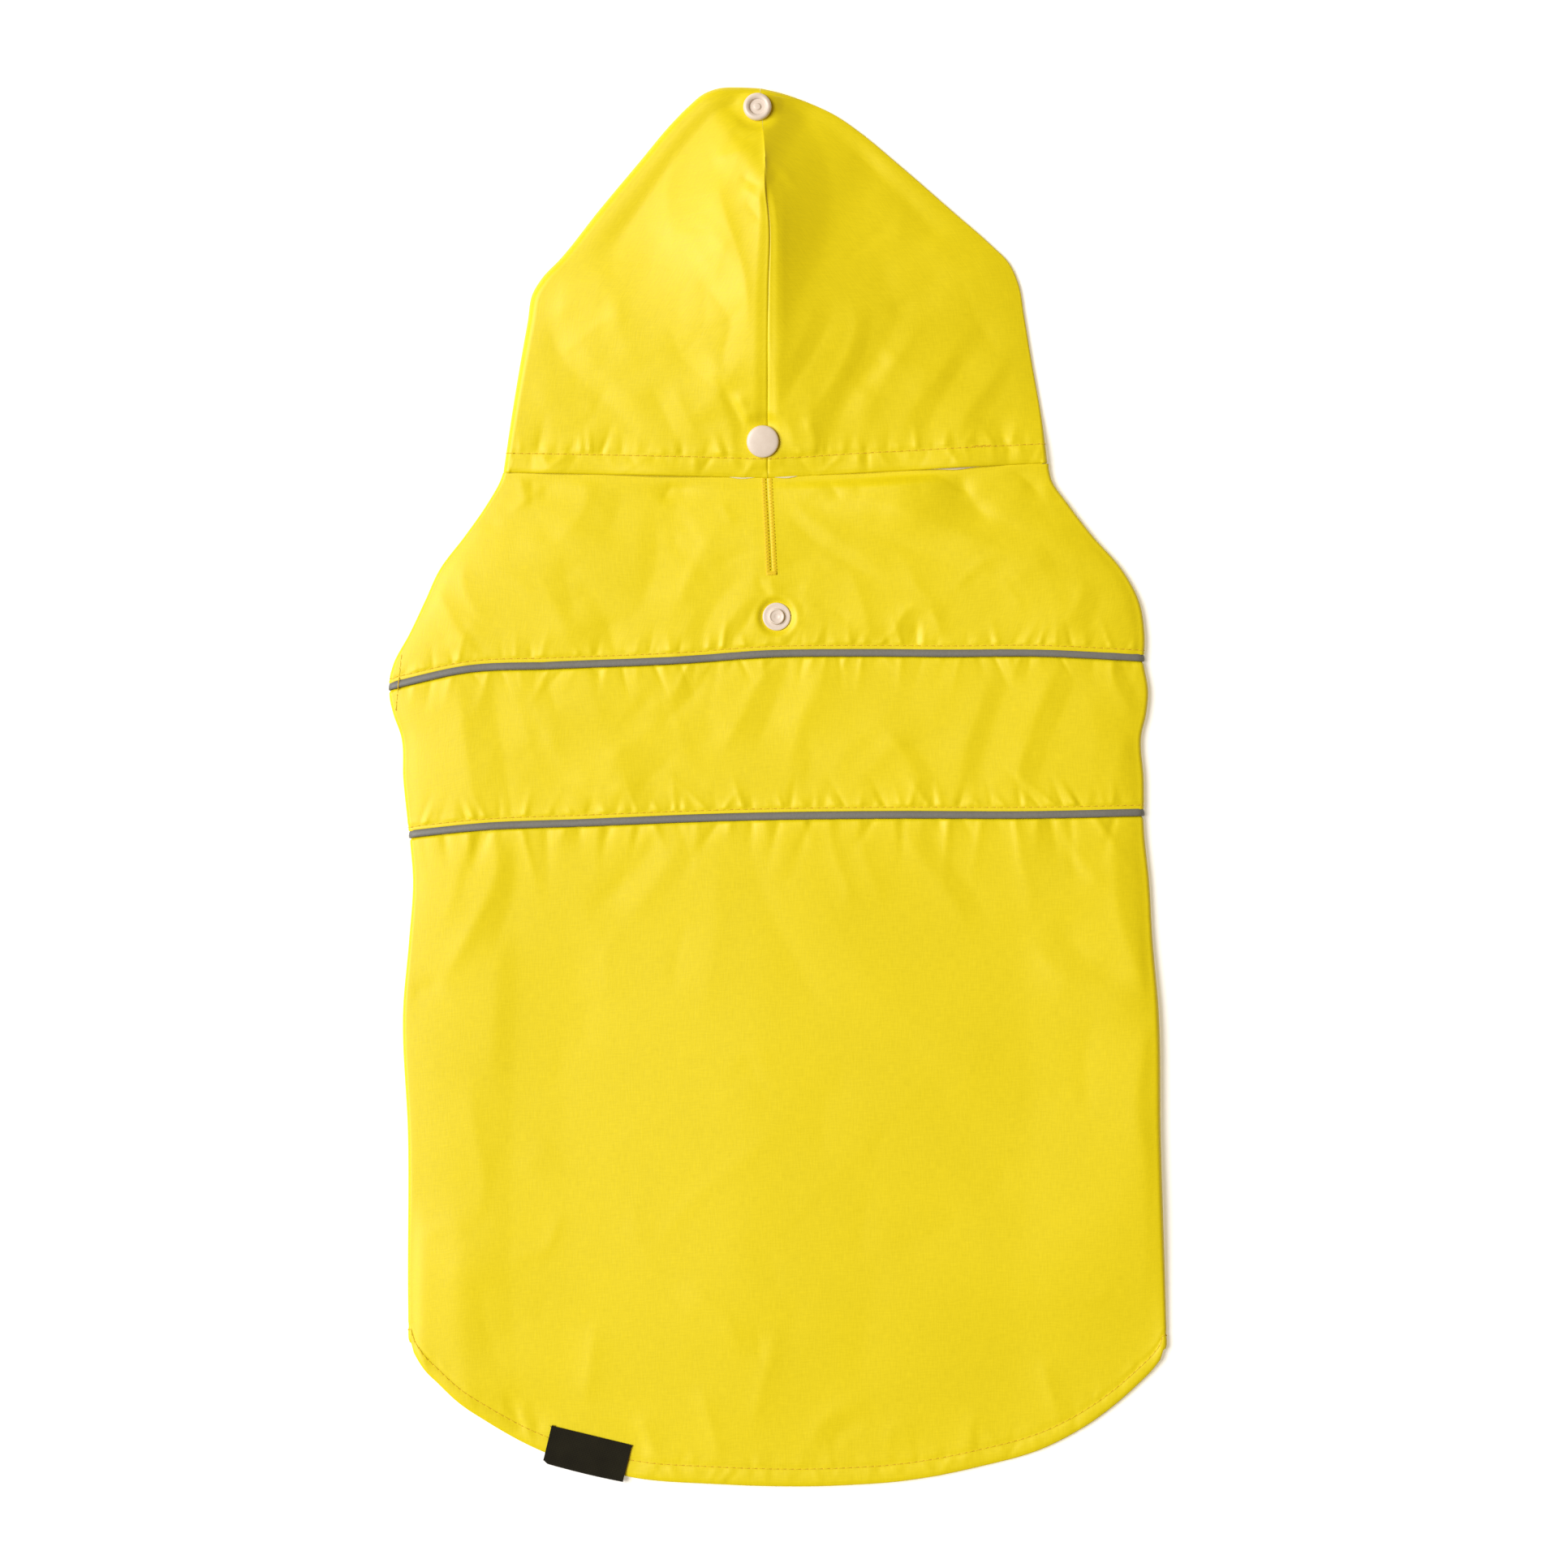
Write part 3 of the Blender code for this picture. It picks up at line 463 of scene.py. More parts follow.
def crease_relief(creases, x, y):
    """Sum of the ridges and troughs at (x, y)."""
    relief = np.zeros_like(x)
    for crease in creases:
        lengths = lengths_along(crease.path)
        at = np.linspace(0.0, lengths[-1], CREASE_STEPS)
        path = curve_through(lengths, crease.path, at)
        reach = 5 * max(crease.left, crease.right)
        near = ((x > path[:, 0].min() - reach) & (x < path[:, 0].max() + reach)
                & (y > path[:, 1].min() - reach) & (y < path[:, 1].max() + reach))
        if not near.any():
            continue
        here_x, here_y = x[near], y[near]
        nearest = np.full(here_x.shape, np.inf)
        right_of, share = np.zeros_like(here_x), np.zeros_like(here_x)
        for number, (start, end) in enumerate(zip(path, path[1:])):
            run = end - start
            t = ((here_x - start[0]) * run[0] + (here_y - start[1]) * run[1]) / (run @ run)
            t = np.clip(t, 0.0, 1.0)
            off_x, off_y = here_x - start[0] - t * run[0], here_y - start[1] - t * run[1]
            away = np.hypot(off_x, off_y)
            closer = away < nearest
            nearest = np.where(closer, away, nearest)
            right_of = np.where(closer, run[0] * off_y - run[1] * off_x, right_of)
            share = np.where(closer, (number + t) / (len(path) - 1), share)
        blend = ease(0.5 + right_of / np.maximum(nearest, 1e-6) / 2)
        width = crease.left + (crease.right - crease.left) * blend
        taper = ease(np.minimum(share, 1 - share) / CREASE_TAPER)
        relief[near] += crease.rise * taper * facet(nearest, width)
    return relief


print("a facet 3 mm from its line:", round(float(facet(np.array(3.0), 5.0)), 2))

# %% [markdown]
# Between the main creases the cloth is never quite flat.  Faint short creases, drawn from a
# seeded list, break up each panel.

# %% Faint creases
def faint_creases(seed, count, box, heading, spread, rise):
    draw = np.random.default_rng(seed)
    creases = []
    for _ in range(count):
        middle = np.array([draw.uniform(box[0], box[2]), draw.uniform(box[1], box[3])])
        turn = math.radians(heading + draw.normal(0.0, spread))
        length = draw.uniform(14.0, 46.0)
        bend = draw.normal(0.0, 0.12) * length
        run = np.array([math.cos(turn), math.sin(turn)])
        side = np.array([-run[1], run[0]])
        half = run * length / 2
        path = np.array([middle - half, middle + side * bend, middle + half])
        widths = draw.uniform(2.0, 9.0, 2)
        height = rise * draw.uniform(0.3, 1.0) * widths.min() / 5.0 * draw.choice([-1.0, 1.0])
        creases.append(Crease(*widths, height, path))
    return creases


trial_crease = faint_creases(1, 1, (0, 0, 50, 50), 60.0, 50.0, 0.3)[0]
print("path of a faint crease:", trial_crease.path.round(1).tolist())

# %% [markdown]
# Seams pull the cloth together.  On both sides of each seam small puckers run out, some short
# and some long, leaning this way and that.  A pucker is sharp where it leaves the seam, and it
# opens and fades away from it.

# %% Puckers along a seam
Puckers = namedtuple("Puckers", "seed spacing length width rise lean start")


def pucker_relief(puckers, first, last, along, away):
    """Ridges and troughs by turns; `along` and `away` are measured on the seam and from it."""
    draw = np.random.default_rng(puckers.seed)
    relief = np.zeros_like(along)
    at, sign = first, 1.0
    while at < last:
        length = puckers.length * draw.uniform(0.45, 2.0)
        width = puckers.width * draw.uniform(0.6, 1.5)
        rise = puckers.rise * draw.uniform(0.3, 1.35) * sign
        lean = draw.normal(0.0, puckers.lean)
        steep = draw.uniform(0.5, 1.0)
        reach = 6 * width + abs(lean) * length
        near = (np.abs(along - at) < reach) & (away > 0) & (away < length)
        if near.any():
            gone = away[near] / length
            off = along[near] - at - lean * away[near]
            spread = width * (0.8 + 1.3 * gone) * np.where(off > 0, steep, 1.5 - steep)
            rising = ease(away[near] / puckers.start) * (1 - gone) ** 1.5
            relief[near] += rise * rising * facet(off, spread)
        at += puckers.spacing * draw.uniform(0.4, 1.6)
        sign = -sign if draw.random() < 0.85 else sign
    return relief


trial_puckers = pucker_relief(Puckers(1, 4.0, 8.0, 1.2, 0.44, 0.35, 1.2), -20.0, 20.0,
                              np.linspace(-20.0, 20.0, 81), np.full(81, 3.0))
print("puckers 3 mm from a seam:", trial_puckers.min().round(2), "to", trial_puckers.max().round(2))

# %% [markdown]
# ### Creases of the back
#
# The yoke is pulled by the hood above and the stud below the leash slot.  The band has slanting
# folds from seam to seam.  The skirt is fuller: short gathers at its seam open into a few long
# diagonal folds that fade towards the hem.  A row of a table has the width on the left, the
# width on the right and the rise, and then x and y of each point of the path.

# %% Crease tables of the back
def crease_table(rows):
    creases = []
    for row in rows.strip().splitlines():
        left, right, rise, *path = [float(word) for word in row.split()]
        creases.append(Crease(left, right, rise, np.reshape(path, (-1, 2))))
    return creases


YOKE_CREASES = crease_table("""
8 7 -1.3       70 134  70 119  75 109  84 99
10 6 -0.6      54 134  54 119  56 107
7 6 -0.6       30 134  30 119  33 108
10 8 -0.9      -36 134  -37 119  -36 106
8 7 -0.7       -90 134  -90 119  -89 106
2.2 3 0.34     -100 122  -98.4 116  -96 107
2 2 -0.25      -95 122  -94.5 113  -94.5 106
3 2.4 0.28     -86 119  -95 111  -105 104
1.6 2.4 -0.22  -122 102.5  -114 101  -105 100.5
9 7 0.55       -75 124  -74 108  -78 101  -85 92
8 8 -0.37      -60 118  -62 104  -70 92
10 10 -0.42    -85 92  -73 75  -65 61  -63 48
8 6 0.37       -94 84  -84 66  -78 48
3 4 0.28       -118 90  -121 79  -117 69  -109 60
4 3 0.34       -134 80  -124 63  -112 46
2.6 2.6 -0.25  -126 68  -118 57  -108 46
2.2 2.2 0.19   -128 58  -122 50  -118 43
8 8 -0.24      -36 120  -40 97  -32 80
9 8 0.2        -50 112  -54 90  -50 72
10 10 0.4      -12 112  -24 98  -34 80  -46 54
2 2.4 0.17     -22 110  -20 105  -16 100
3 4 -0.25      -26 84  -18 87  -11 90  -5 88
6 4 -0.34      -4 82  -16 78  -26 66  -32 50
6 10 0.78      2 116  10 105  24 94  46 82
4 7 -0.59      0 108  12 96  27 86  44 76
5 5 0.28       14 112  26 106  40 104
6 4.5 0.4      26 86  33 68  36 50
2.4 2.6 -0.26  11 67  18 69  24 66  29 58
2.4 2.4 0.17   48 82  57 73  66 65
3.4 2.8 0.53   43 52  46 62  50 68  58 68  62 60  62 52
3 3 -0.43      50 52  52 58  55 63
3.2 4 0.37     88 91  76 84  69 76  62 68
2.2 2.2 -0.22  80 82  70 76  64 70
2.6 3 0.22     84 84  90 74  96 66
4.5 3.5 0.43   118 84  115 70  106 58
3.5 4 -0.31    124 78  122 66  114 56
34 50 2.2      60 134  49 114  41 94
80 60 0.9      44 148  44 116  48 92
24 26 1        112 82  108 60  106 32
26 18 0.7      -78 104  -76 82  -73 64  -70 44
18 30 1        -8 118  -8 80  -8 40
4 6 -0.35      -67 66  -64 57  -62 48
16 12 0.55     90 124  97 106  112 88
2.6 4.5 -0.8   56 124  64 118  76 111
3 6 -0.8       86 126  94 119  103 110
3 2.6 -0.5     -40 122  -41 116  -45 108
3 2.6 -0.5     18 122  20 116  25 109
14 10 -0.81    52 120  72 108  96 97  118 90
8 9 0.4        40 108  62 100  84 92
1.5 1.9 -0.26  -8 82  -6 76  -1.4 71.4
1.8 1.6 0.21   -2.6 81  -2.2 76.4  -0.8 71.6
2.4 2.8 -0.26  0.2 80.5  4.4 84.6  12 86  22 84
1.6 1.6 -0.21  0.2 73.4  4.4 76.2  11 75.6
1.8 1.6 -0.22  0.6 72  6.4 72.4  9.4 68.8  10.4 63
2.2 2.6 -0.37  -1.6 72.6  -7.6 69.8  -12.6 61.8  -19.6 53
4 3 0.31       -6 75  -14 69  -20 60  -26 50
3 3 0.22       6 66  10 58  11 50
""") + faint_creases(101, 34, (-125, 52, 125, 116), 60.0, 50.0, 0.32)
BAND_CREASES = crease_table("""
11 7 0.61      -125 54  -121 24  -118 2  -114 -22
7 9 -0.44      -110 54  -108 26  -104 4  -100 -20
6 6 0.25       -104 48  -98 26  -91 4
3 4 -0.25      -92 54  -88 38  -84 26
7 6 0.28       -76 54  -71 36  -66 20
3.4 2.6 -0.33  -21 56  -32 36  -48 21
7 4 0.33       -28 56  -40 36  -56 24
7 5 0.5        0 56  -12 31  -24 8
4.5 6 -0.33    7 56  -2 30  -10 10
7 6 0.33       20 56  12 34  6 14  4 -4
5 4 -0.28      -38 14  -48 4  -56 -6
7 6 0.25       -58 20  -64 6  -70 -6
8 8 0.3        50 36  38 24  27 15  18 -4
6 4.5 0.36     38 26  50 9  58 -8
4.5 6 -0.33    46 22  58 8  65 -8
9 6 0.5        84 50  78 32  72 14  68 -8
6 8 -0.39      92 52  84 28  78 8  76 -10
8 4.5 0.66     112 56  103 37  95 15  88 -12
4 8 -0.33      118 50  110 30  102 10  98 -8
3 2.6 0.33     126 54  131 36  139 25
2.4 2.8 -0.28  130 56  135 40  143 30
9 6 0.52       134 24  131 8  133 -10
7 8 0.22       118 40  122 20  120 2
""") + faint_creases(102, 30, (-130, -6, 130, 42), 65.0, 35.0, 0.32)
SKIRT_CREASES = crease_table("""
66 60 1.45     2 90  -6 -60  -14 -190  -20 -360
46 30 -1       78 20  95 -90  93 -190  84 -300
12 34 -0.56    -98 10  -100 -80  -102 -180  -96 -300
5.5 4 0.59     -112 -8  -107.5 -32  -115 -50  -123 -65  -132 -80
4.5 7 -0.4     -104 -12  -101 -34  -106 -54  -112 -70
2.6 4 -0.25    -128 -74  -136 -78  -146 -79.5
5 4 0.22       -120 -18  -124 -40  -130 -56
12 9 0.5       -106 -50  -108.5 -84  -111 -120
8 6 0.34       -119 -106  -117 -128  -113 -156  -118 -176
2.4 2 0.15     -138 -175  -128 -169  -116 -172.5
1.8 2.6 0.19   -104 -188  -99.5 -181  -89 -178  -85.5 -170  -81 -160
16 13 -0.1     -70 -40  -81 -104  -82 -164
4.5 7 -0.4     -40 -10  -55 -32  -76 -52
9 5 0.37       -32 -10  -46 -36  -62 -56
3 4 -0.14      -33 -48  -38 -62  -40 -80
14 10 0.34     -24 -10  -24 -50  -30 -96
9 6 -0.31      -14 -10  -6 -40  6 -66  22 -92
34 26 0.8      1 -8  11 -36  22 -55  32 -72  46 -87  68 -104  90 -134
3 3 0.28       18 -10  23 -30  27 -42  22 -50
5 4 0.28       28 -8  34 -30  42 -48
6 3.6 0.36     44 -8  54 -26  66 -42  76 -60
3.6 6 -0.31    52 -8  62 -24  74 -40  84 -56
18 18 -0.2     34 -70  54 -104  74 -144  86 -190
5 6 0.56       96 -54  106 -71  121 -77.5  147 -89
6 5 -0.37      104 -50  116 -64  138 -76
5 5 0.28       92 -8  95 -30  98 -54
3.4 3 0.34     109 -16  116 -28  128 -41
3 3 -0.25      106 -12  111 -26  120 -40
7 10 0.93      125 -6  129 -28  131 -48  138 -70  147 -92
10 5 0.59      146 -84  140 -104  138 -126  142 -150
7 7 -0.28      122 -84  118 -104  120 -130
26 9 0.45      140 -120  141 -160  139 -215
44 90 -0.9     -78 20  -80 -120  -80 -300
2.2 3 0.1      10 -122  -12 -141.5  -32 -158  -54 -184
2 2.2 0.1      -22 -108.5  -10 -102  0 -106
2 2.2 0.09     -60 -168  -54 -172  -48 -168
7 3.5 0.31     -40 -191  -24 -201  -17 -209  -15.5 -220
1.8 1.8 -0.17  -8.5 -207  -7.4 -214  -6.2 -222
4 5 0.31       1 -204  -5 -226  -11 -250
4 5 0.34       -70 -204  -72 -222  -75 -240
8 8 -0.37      -116 -184  -112 -208  -104 -230
22 24 1.4      -122 -150  -122 -200  -116 -264
4 3.4 0.31     -31 -228  -26 -244  -21 -264
3 3.4 0.31     12 -258  16 -246  23 -240  38 -238
2.6 2.6 -0.25  20 -258  24 -248  34 -245
2.6 3 0.22     40 -256  46 -246  54 -252
4 3 0.31       76 -238  74 -250  72 -262
3 4 0.34       101 -218  104 -230  108 -246
2.6 2.6 0.15   96 -186  110 -195  122 -197  130 -188
14 14 -0.37    40 -170  34 -205  30 -240
3 2.4 -0.37    -106 -232  -100 -243  -97 -254
2.4 3 -0.31    -97 -234  -92 -246  -90 -258
2 2 0.31       -101 -236  -96 -247  -93 -257
3.5 3.5 0.28   -54 -240  -50 -250  -50 -262
""") + faint_creases(103, 46, (-130, -215, 130, -20), 80.0, 40.0, 0.16)
print("creases on the back:", len(YOKE_CREASES) + len(BAND_CREASES) + len(SKIRT_CREASES))

# %% [markdown]
# ### The surface of a back panel
#
# Every row of a panel starts on the underside, rolls round the side, crosses the back and ends
# on the underside again.  The rows lie close together at the seams, where the edge of the cloth
# dives into the seam, and further apart in the open.

# %% Rows and columns of a panel
CLOTH = 0.4                 # thickness of the cloth, with its lining
UNDER = CLOTH / 2 + 0.20    # middle of a layer that lies on the floor
ROLL_RADIUS = 1.55
RETURN = 30.0
MIDDLE_LEVEL = 6.1
NECK_LEVEL = 4.7
NECK_SLOPE_Y, NECK_SLOPE = 114.0, 28.0
HEM_LEVEL = 2.4
HEM_SLOPE = 80.0
SKIRT_SINK, SKIRT_SINK_LENGTH = 0.8, 50.0
HEM_FOLD = 7.4
LAYER_STEP = 0.46
PIPING_WIDTH = 3.04
SEAM_OFFSET = 1.34
SEAM_STITCH = 1.5           # stitches run this far above a piping's seam
SKIRT_HEM_DEPTH = 6.3
LEG_HOLE_Y, LEG_HOLE_HALF = 44.0, 33.0
LEG_HOLE_OUTWARD, LEG_HOLE_INWARD = 24.0, 15.0

Panel = namedtuple("Panel", "name above below length coarse creases top_puckers low_puckers")
YOKE = Panel("yoke", NECK, UPPER, 70.0, 1.1, YOKE_CREASES,
             None, Puckers(11, 4.0, 8.0, 1.2, 0.44, 0.35, 1.2))
BAND = Panel("band", UPPER, LOWER, 58.0, 1.1, BAND_CREASES,
             Puckers(23, 5.4, 10.0, 1.6, 0.38, 0.35, 0.6),
             Puckers(37, 3.9, 9.5, 1.3, 0.46, 0.45, 1.2))
SKIRT = Panel("skirt", LOWER, HEM, 245.0, 2.0, SKIRT_CREASES,
              Puckers(41, 6.0, 17.0, 2.0, 0.52, 0.30, 0.6),
              Puckers(53, 5.0, 8.0, 1.3, 0.24, 0.30, 1.2))
TOP_STEPS = {"yoke": 0.78, "band": 0.78, "skirt": 1.16}
FINEST_ROW = 0.32


def graded(length, fine, coarse, growth=0.14):
    """Shares from 0 to 1 whose steps grow from fine at both ends to coarse in the middle."""
    steps = [0.0]
    while steps[-1] < length / 2:
        steps.append(steps[-1] + min(coarse, fine + growth * steps[-1]))
    half = np.array(steps) / steps[-1] / 2
    return np.concatenate([half, 1 - half[-2::-1]])


def leg_hole(y):
    """1 at the middle of the leg hole, 0 past its ends."""
    return np.sqrt(np.clip(1 - ((y - LEG_HOLE_Y) / LEG_HOLE_HALF) ** 2, 0.0, 1.0))


print("rows of the skirt:", len(graded(SKIRT.length, FINEST_ROW, SKIRT.coarse)))

# %% [markdown]
# A seat is a flat place in the cloth, under a snap.  Under the label the cloth is calm too.

# %% Seats
Seat = namedtuple("Seat", "x y level slope flat fade")
STUD_SEAT = Seat(-0.5, 65.0, 5.7, 0.0, 5.4, 8.0)
CAP_SEAT = Seat(-5.8, 132.1, 7.8, 0.08, 6.3, 12.0)
SOCKET_SEAT = Seat(-7.9, 260.2, 7.2, -0.14, 5.8, 10.0)
LABEL_PLACE = (-73.3, -256.7)
LABEL_CALM, LABEL_FADE = 19.0, 8.0


def flatten_to(seat, x, y, z):
    away = np.hypot(x - seat.x, y - seat.y)
    weight = ease((seat.fade - away) / (seat.fade - seat.flat))
    plane = seat.level + seat.slope * (y - seat.y)
    return z * (1 - weight) + plane * weight


print("seats:", [(seat.x, seat.y) for seat in (STUD_SEAT, CAP_SEAT, SOCKET_SEAT)])

# %% [markdown]
# An edge has a small form of its own, told by the distance from it.  Above a piping the cloth is
# folded and stitched down, below it the cloth goes into the seam, and at the hem it is turned in.
# A relief of a few tenths of a millimetre is enough for the light to show which is which.

# %% Edges of the cloth
def folded_edge(away):
    """The turned and stitched edge above a piping: a welt, then the stitched groove."""
    return (0.10 * hump(away - 0.6, 0.7) - 0.16 * hump(away, 0.30)
            - 0.16 * facet(away - SEAM_STITCH, 0.5) + 0.08 * hump(away - 3.0, 1.2))


def tucked_edge(away):
    """The edge that goes down into the seam below a piping."""
    return -0.75 * hump(away, 0.6) - 0.22 * facet(away, 2.5)


def hemmed_edge(away, depth):
    """A folded hem, rounded at its edge and drawn in where it is stitched."""
    return (-0.30 * hump(away, 0.8) - 0.18 * facet(away - depth, 0.7)
            + 0.10 * hump(away - depth / 2, depth / 3) + 0.07 * hump(away - depth - 1.8, 1.4))


def edge_relief(panel, from_above, from_below):
    relief = np.zeros_like(from_above)
    if panel.above is not NECK:
        relief = relief + tucked_edge(from_above)
    if panel.below is HEM:
        return relief + hemmed_edge(from_below, SKIRT_HEM_DEPTH)
    return relief + folded_edge(from_below)


print("height in the stitched groove:", round(float(folded_edge(np.array(SEAM_STITCH))), 2), "mm")

# %% [markdown]
# The coat is a tube pressed flat, and air stays in it along the folds at its sides.  The back
# goes from the roll at either side to its middle level.  The roll is fuller low on the right and
# flatter towards the hem.  All heights come from one function of the place, so that the panels
# agree where they meet.

# %% Heights of the back
SIDE_RISE_LEFT = 15.0
SIDE_RISE_RIGHT_Y = (-220.0, -110.0, -60.0, 0.0, 50.0, 120.0)
SIDE_RISE_RIGHT = (5.0, 5.0, 10.0, 16.0, 20.0, 20.0)
RIGHT_FULL, RIGHT_SLACK, HEM_FLAT = 0.6, 0.3, 0.42
PUCKERS_IN_HEM = Puckers(59, 4.6, 10.0, 1.2, 0.26, 0.5, 1.0)
LOWEST_TOP = 1.7


def roll_radius(panel, right, y, from_below):
    """The fold at the side: fuller low on the right, flatter towards the hem."""
    if panel is YOKE:
        return ROLL_RADIUS - RIGHT_SLACK * right * ease((y - 50.0) / 30.0)
    if panel is BAND:
        return ROLL_RADIUS + 0 * y
    full = ROLL_RADIUS + RIGHT_FULL * right * ease((-40.0 - y) / 60.0)
    return full * (1 - HEM_FLAT * ease(1 - from_below / 60.0))


def body_level(panel, x, y, from_roll, roll_top, rise_width, from_above, from_below):
    """Height of the middle of the back's cloth."""
    level = NECK_LEVEL + (MIDDLE_LEVEL - NECK_LEVEL) * ease((NECK_SLOPE_Y - y) / NECK_SLOPE)
    if panel is SKIRT:
        full = MIDDLE_LEVEL - SKIRT_SINK * ease(from_above / SKIRT_SINK_LENGTH)
        level = HEM_LEVEL + (full - HEM_LEVEL) * ease(from_below / HEM_SLOPE)
    level = level + (roll_top - level) * np.exp(-from_roll / rise_width)
    relief = crease_relief(panel.creases, x, y)
    first, last = EDGE_X["left"][0] - 8.0, EDGE_X["right"][0] + 8.0
    if panel.top_puckers:
        relief = relief + pucker_relief(panel.top_puckers, first, last, x, from_above)
    stitched = SKIRT_HEM_DEPTH if panel is SKIRT else SEAM_STITCH
    relief = relief + pucker_relief(panel.low_puckers, first, last, x, from_below - stitched)
    if panel is SKIRT:
        relief = relief + pucker_relief(PUCKERS_IN_HEM, first, last, x, stitched - from_below)
    under_label = np.hypot(x - LABEL_PLACE[0], (y - LABEL_PLACE[1]) * 1.6)
    relief = relief * (1 - hump(from_roll, 2.5))
    if panel is YOKE:
        relief = relief * ease((from_above - 0.5) / 4.5)
    level = level + relief * (1 - ease((LABEL_CALM + LABEL_FADE - under_label) / LABEL_FADE))
    level = flatten_to(STUD_SEAT, x, y, level)
    return np.maximum(level, LOWEST_TOP)


print("roll at the skirt's hem:", round(float(roll_radius(SKIRT, 0, HEM.heights[0], 0.0)), 2), "mm")

# %% [markdown]
# A laid surface is a grid of points with the outward direction at each.  Stitches, pipings and
# the inner leaf of a hem are all placed by it.

# %% Laid surfaces
Laid = namedtuple("Laid", "points out")


def unit(vectors):
    return vectors / np.linalg.norm(vectors, axis=-1, keepdims=True)


def laid(points, outward_z=1.0):
    """Points (rows, columns, 3) with their outward directions, from the grid's own slopes."""
    down = np.gradient(points, axis=0)
    across = np.gradient(points, axis=1)
    out = np.cross(across, down)
    length = np.linalg.norm(out, axis=2, keepdims=True)
    out = out / np.maximum(length, 1e-9)
    middle = out[out.shape[0] // 2, out.shape[1] // 2, 2]
    return Laid(points, out * (1.0 if middle * outward_z > 0 else -1.0))


def with_hem(cloth, depth, first=False):
    """Adds the leaf of a hem, folded inwards and back under the cloth."""
    points, out = cloth.points, cloth.out
    if first:
        points, out = points[::-1], out[::-1]
    back = np.linalg.norm(points[-1] - points, axis=2)
    count = int((np.median(back, axis=1) < depth).sum())
    leaf = (points - out * LAYER_STEP)[::-1][:count]
    beyond = unit(points[-1] - points[-2])
    turn = points[-1] - out[-1] * LAYER_STEP / 2 + beyond * LAYER_STEP / 2
    points = np.concatenate([points, turn[None], leaf])
    out = np.concatenate([out, beyond[None], -out[::-1][:count]])
    if first:
        points, out = points[::-1], out[::-1]
    return Laid(points, out)


# %% [markdown]
# A panel's points are told row by row: the left return and roll, the top, then the right roll
# and return.  On a roll the relief of an edge stands out along the radius.

# %% A panel's surface
ROLL_ANGLES = np.radians(np.linspace(-90.0, 90.0, 13))
RETURN_COLUMNS = 16
SIDE_COLUMNS = RETURN_COLUMNS + len(ROLL_ANGLES) - 1
TOP_WIDTH = 290.0


def panel_surface(panel):
    share = graded(panel.length, FINEST_ROW, panel.coarse)[:, None]
    above_offset = 0.0 if panel.above is NECK else -SEAM_OFFSET
    below_offset = 0.0 if panel.below is HEM else SEAM_OFFSET

    def above(f):
        return smooth_through(panel.above.shares, panel.above.heights, f) + above_offset

    def below(f):
        return smooth_through(panel.below.shares, panel.below.heights, f) + below_offset

    def height(f):
        return above(f) * (1 - share) + below(f) * share

    blocks, ends, reaches = {}, {}, {}
    for side, end in (("left", 0.0), ("right", 1.0)):
        y = height(end)
        x = smooth_through(EDGE_Y, EDGE_X[side], y)
        ends[side] = x
        first, last = getattr(panel.above, side + "_turn"), getattr(panel.below, side + "_turn")
        turn = first + (last - first) * share
        inner = RETURN - LEG_HOLE_OUTWARD * leg_hole(y)
        from_above, from_below = above(end) - y, y - below(end)
        fold = roll_radius(panel, side == "right", y, from_below)
        reach = fold + CLOTH / 2
        relief = edge_relief(panel, from_above, from_below)
        t = np.linspace(0.0, 1.0, RETURN_COLUMNS)[None, :]
        inward = inner * (1 - t) + reach * t
        under_x = x + SIDES[side] * inward
        under_y = y + turn * inward
        under_z = UNDER - np.minimum(relief, 0.0) + 0 * inward
        angle = ROLL_ANGLES[None, 1:]
        lift = np.where(angle < 0, np.minimum(relief, 0.0), relief)
        radius = fold + lift
        roll_in = reach - radius * np.cos(angle)
        roll_x = x + SIDES[side] * roll_in
        blend = ease((angle + math.pi / 2) / math.pi)
        roll_y = (y + turn * roll_in) * (1 - blend) + y * blend
        roll_z = UNDER + fold + radius * np.sin(angle)
        pairs = ((under_x, roll_x), (under_y, roll_y), (under_z, roll_z))
        blocks[side] = np.stack([np.concatenate(pair, axis=1) for pair in pairs], axis=2)
        reaches[side] = reach
    width = ends["right"] - ends["left"]
    columns = int(TOP_WIDTH / TOP_STEPS[panel.name])
    t = np.linspace(0.0, 1.0, columns)[None, 1:-1]
    x = ends["left"] + reaches["left"] + t * (width - reaches["left"] - reaches["right"])
    f = (x - ends["left"]) / width
    y = height(f)
    from_left = x - ends["left"] - reaches["left"]
    from_right = ends["right"] - x - reaches["right"]
    from_roll = np.minimum(from_left, from_right)
    on_right = from_right < from_left
    rise_width = np.where(on_right, smooth_through(SIDE_RISE_RIGHT_Y, SIDE_RISE_RIGHT, y),
                          SIDE_RISE_LEFT)
    from_above, from_below = above(f) - y, y - below(f)
    roll_top = UNDER + 2 * roll_radius(panel, on_right, y, from_below)
    z = body_level(panel, x, y, from_roll, roll_top, rise_width, from_above, from_below)
    z = z + edge_relief(panel, from_above, from_below)
    top = np.stack([x, y, z], axis=2)
    points = np.concatenate([blocks["left"], top, blocks["right"][:, ::-1]], axis=1)
    return laid(points)


cloth = {panel.name: panel_surface(panel) for panel in (YOKE, BAND, SKIRT)}
for name, surface in cloth.items():
    print(name, surface.points.shape[:2], "points, top", round(surface.points[..., 2].max(), 2))

# %% [markdown]
# ### From points to cloth
#
# A grid primitive with the right number of cells is the flat cloth.  Its points are then put
# where the surface says, its flat coordinates are the lengths along the cloth, so that the weave
# keeps its size, and Solidify gives it a thickness.

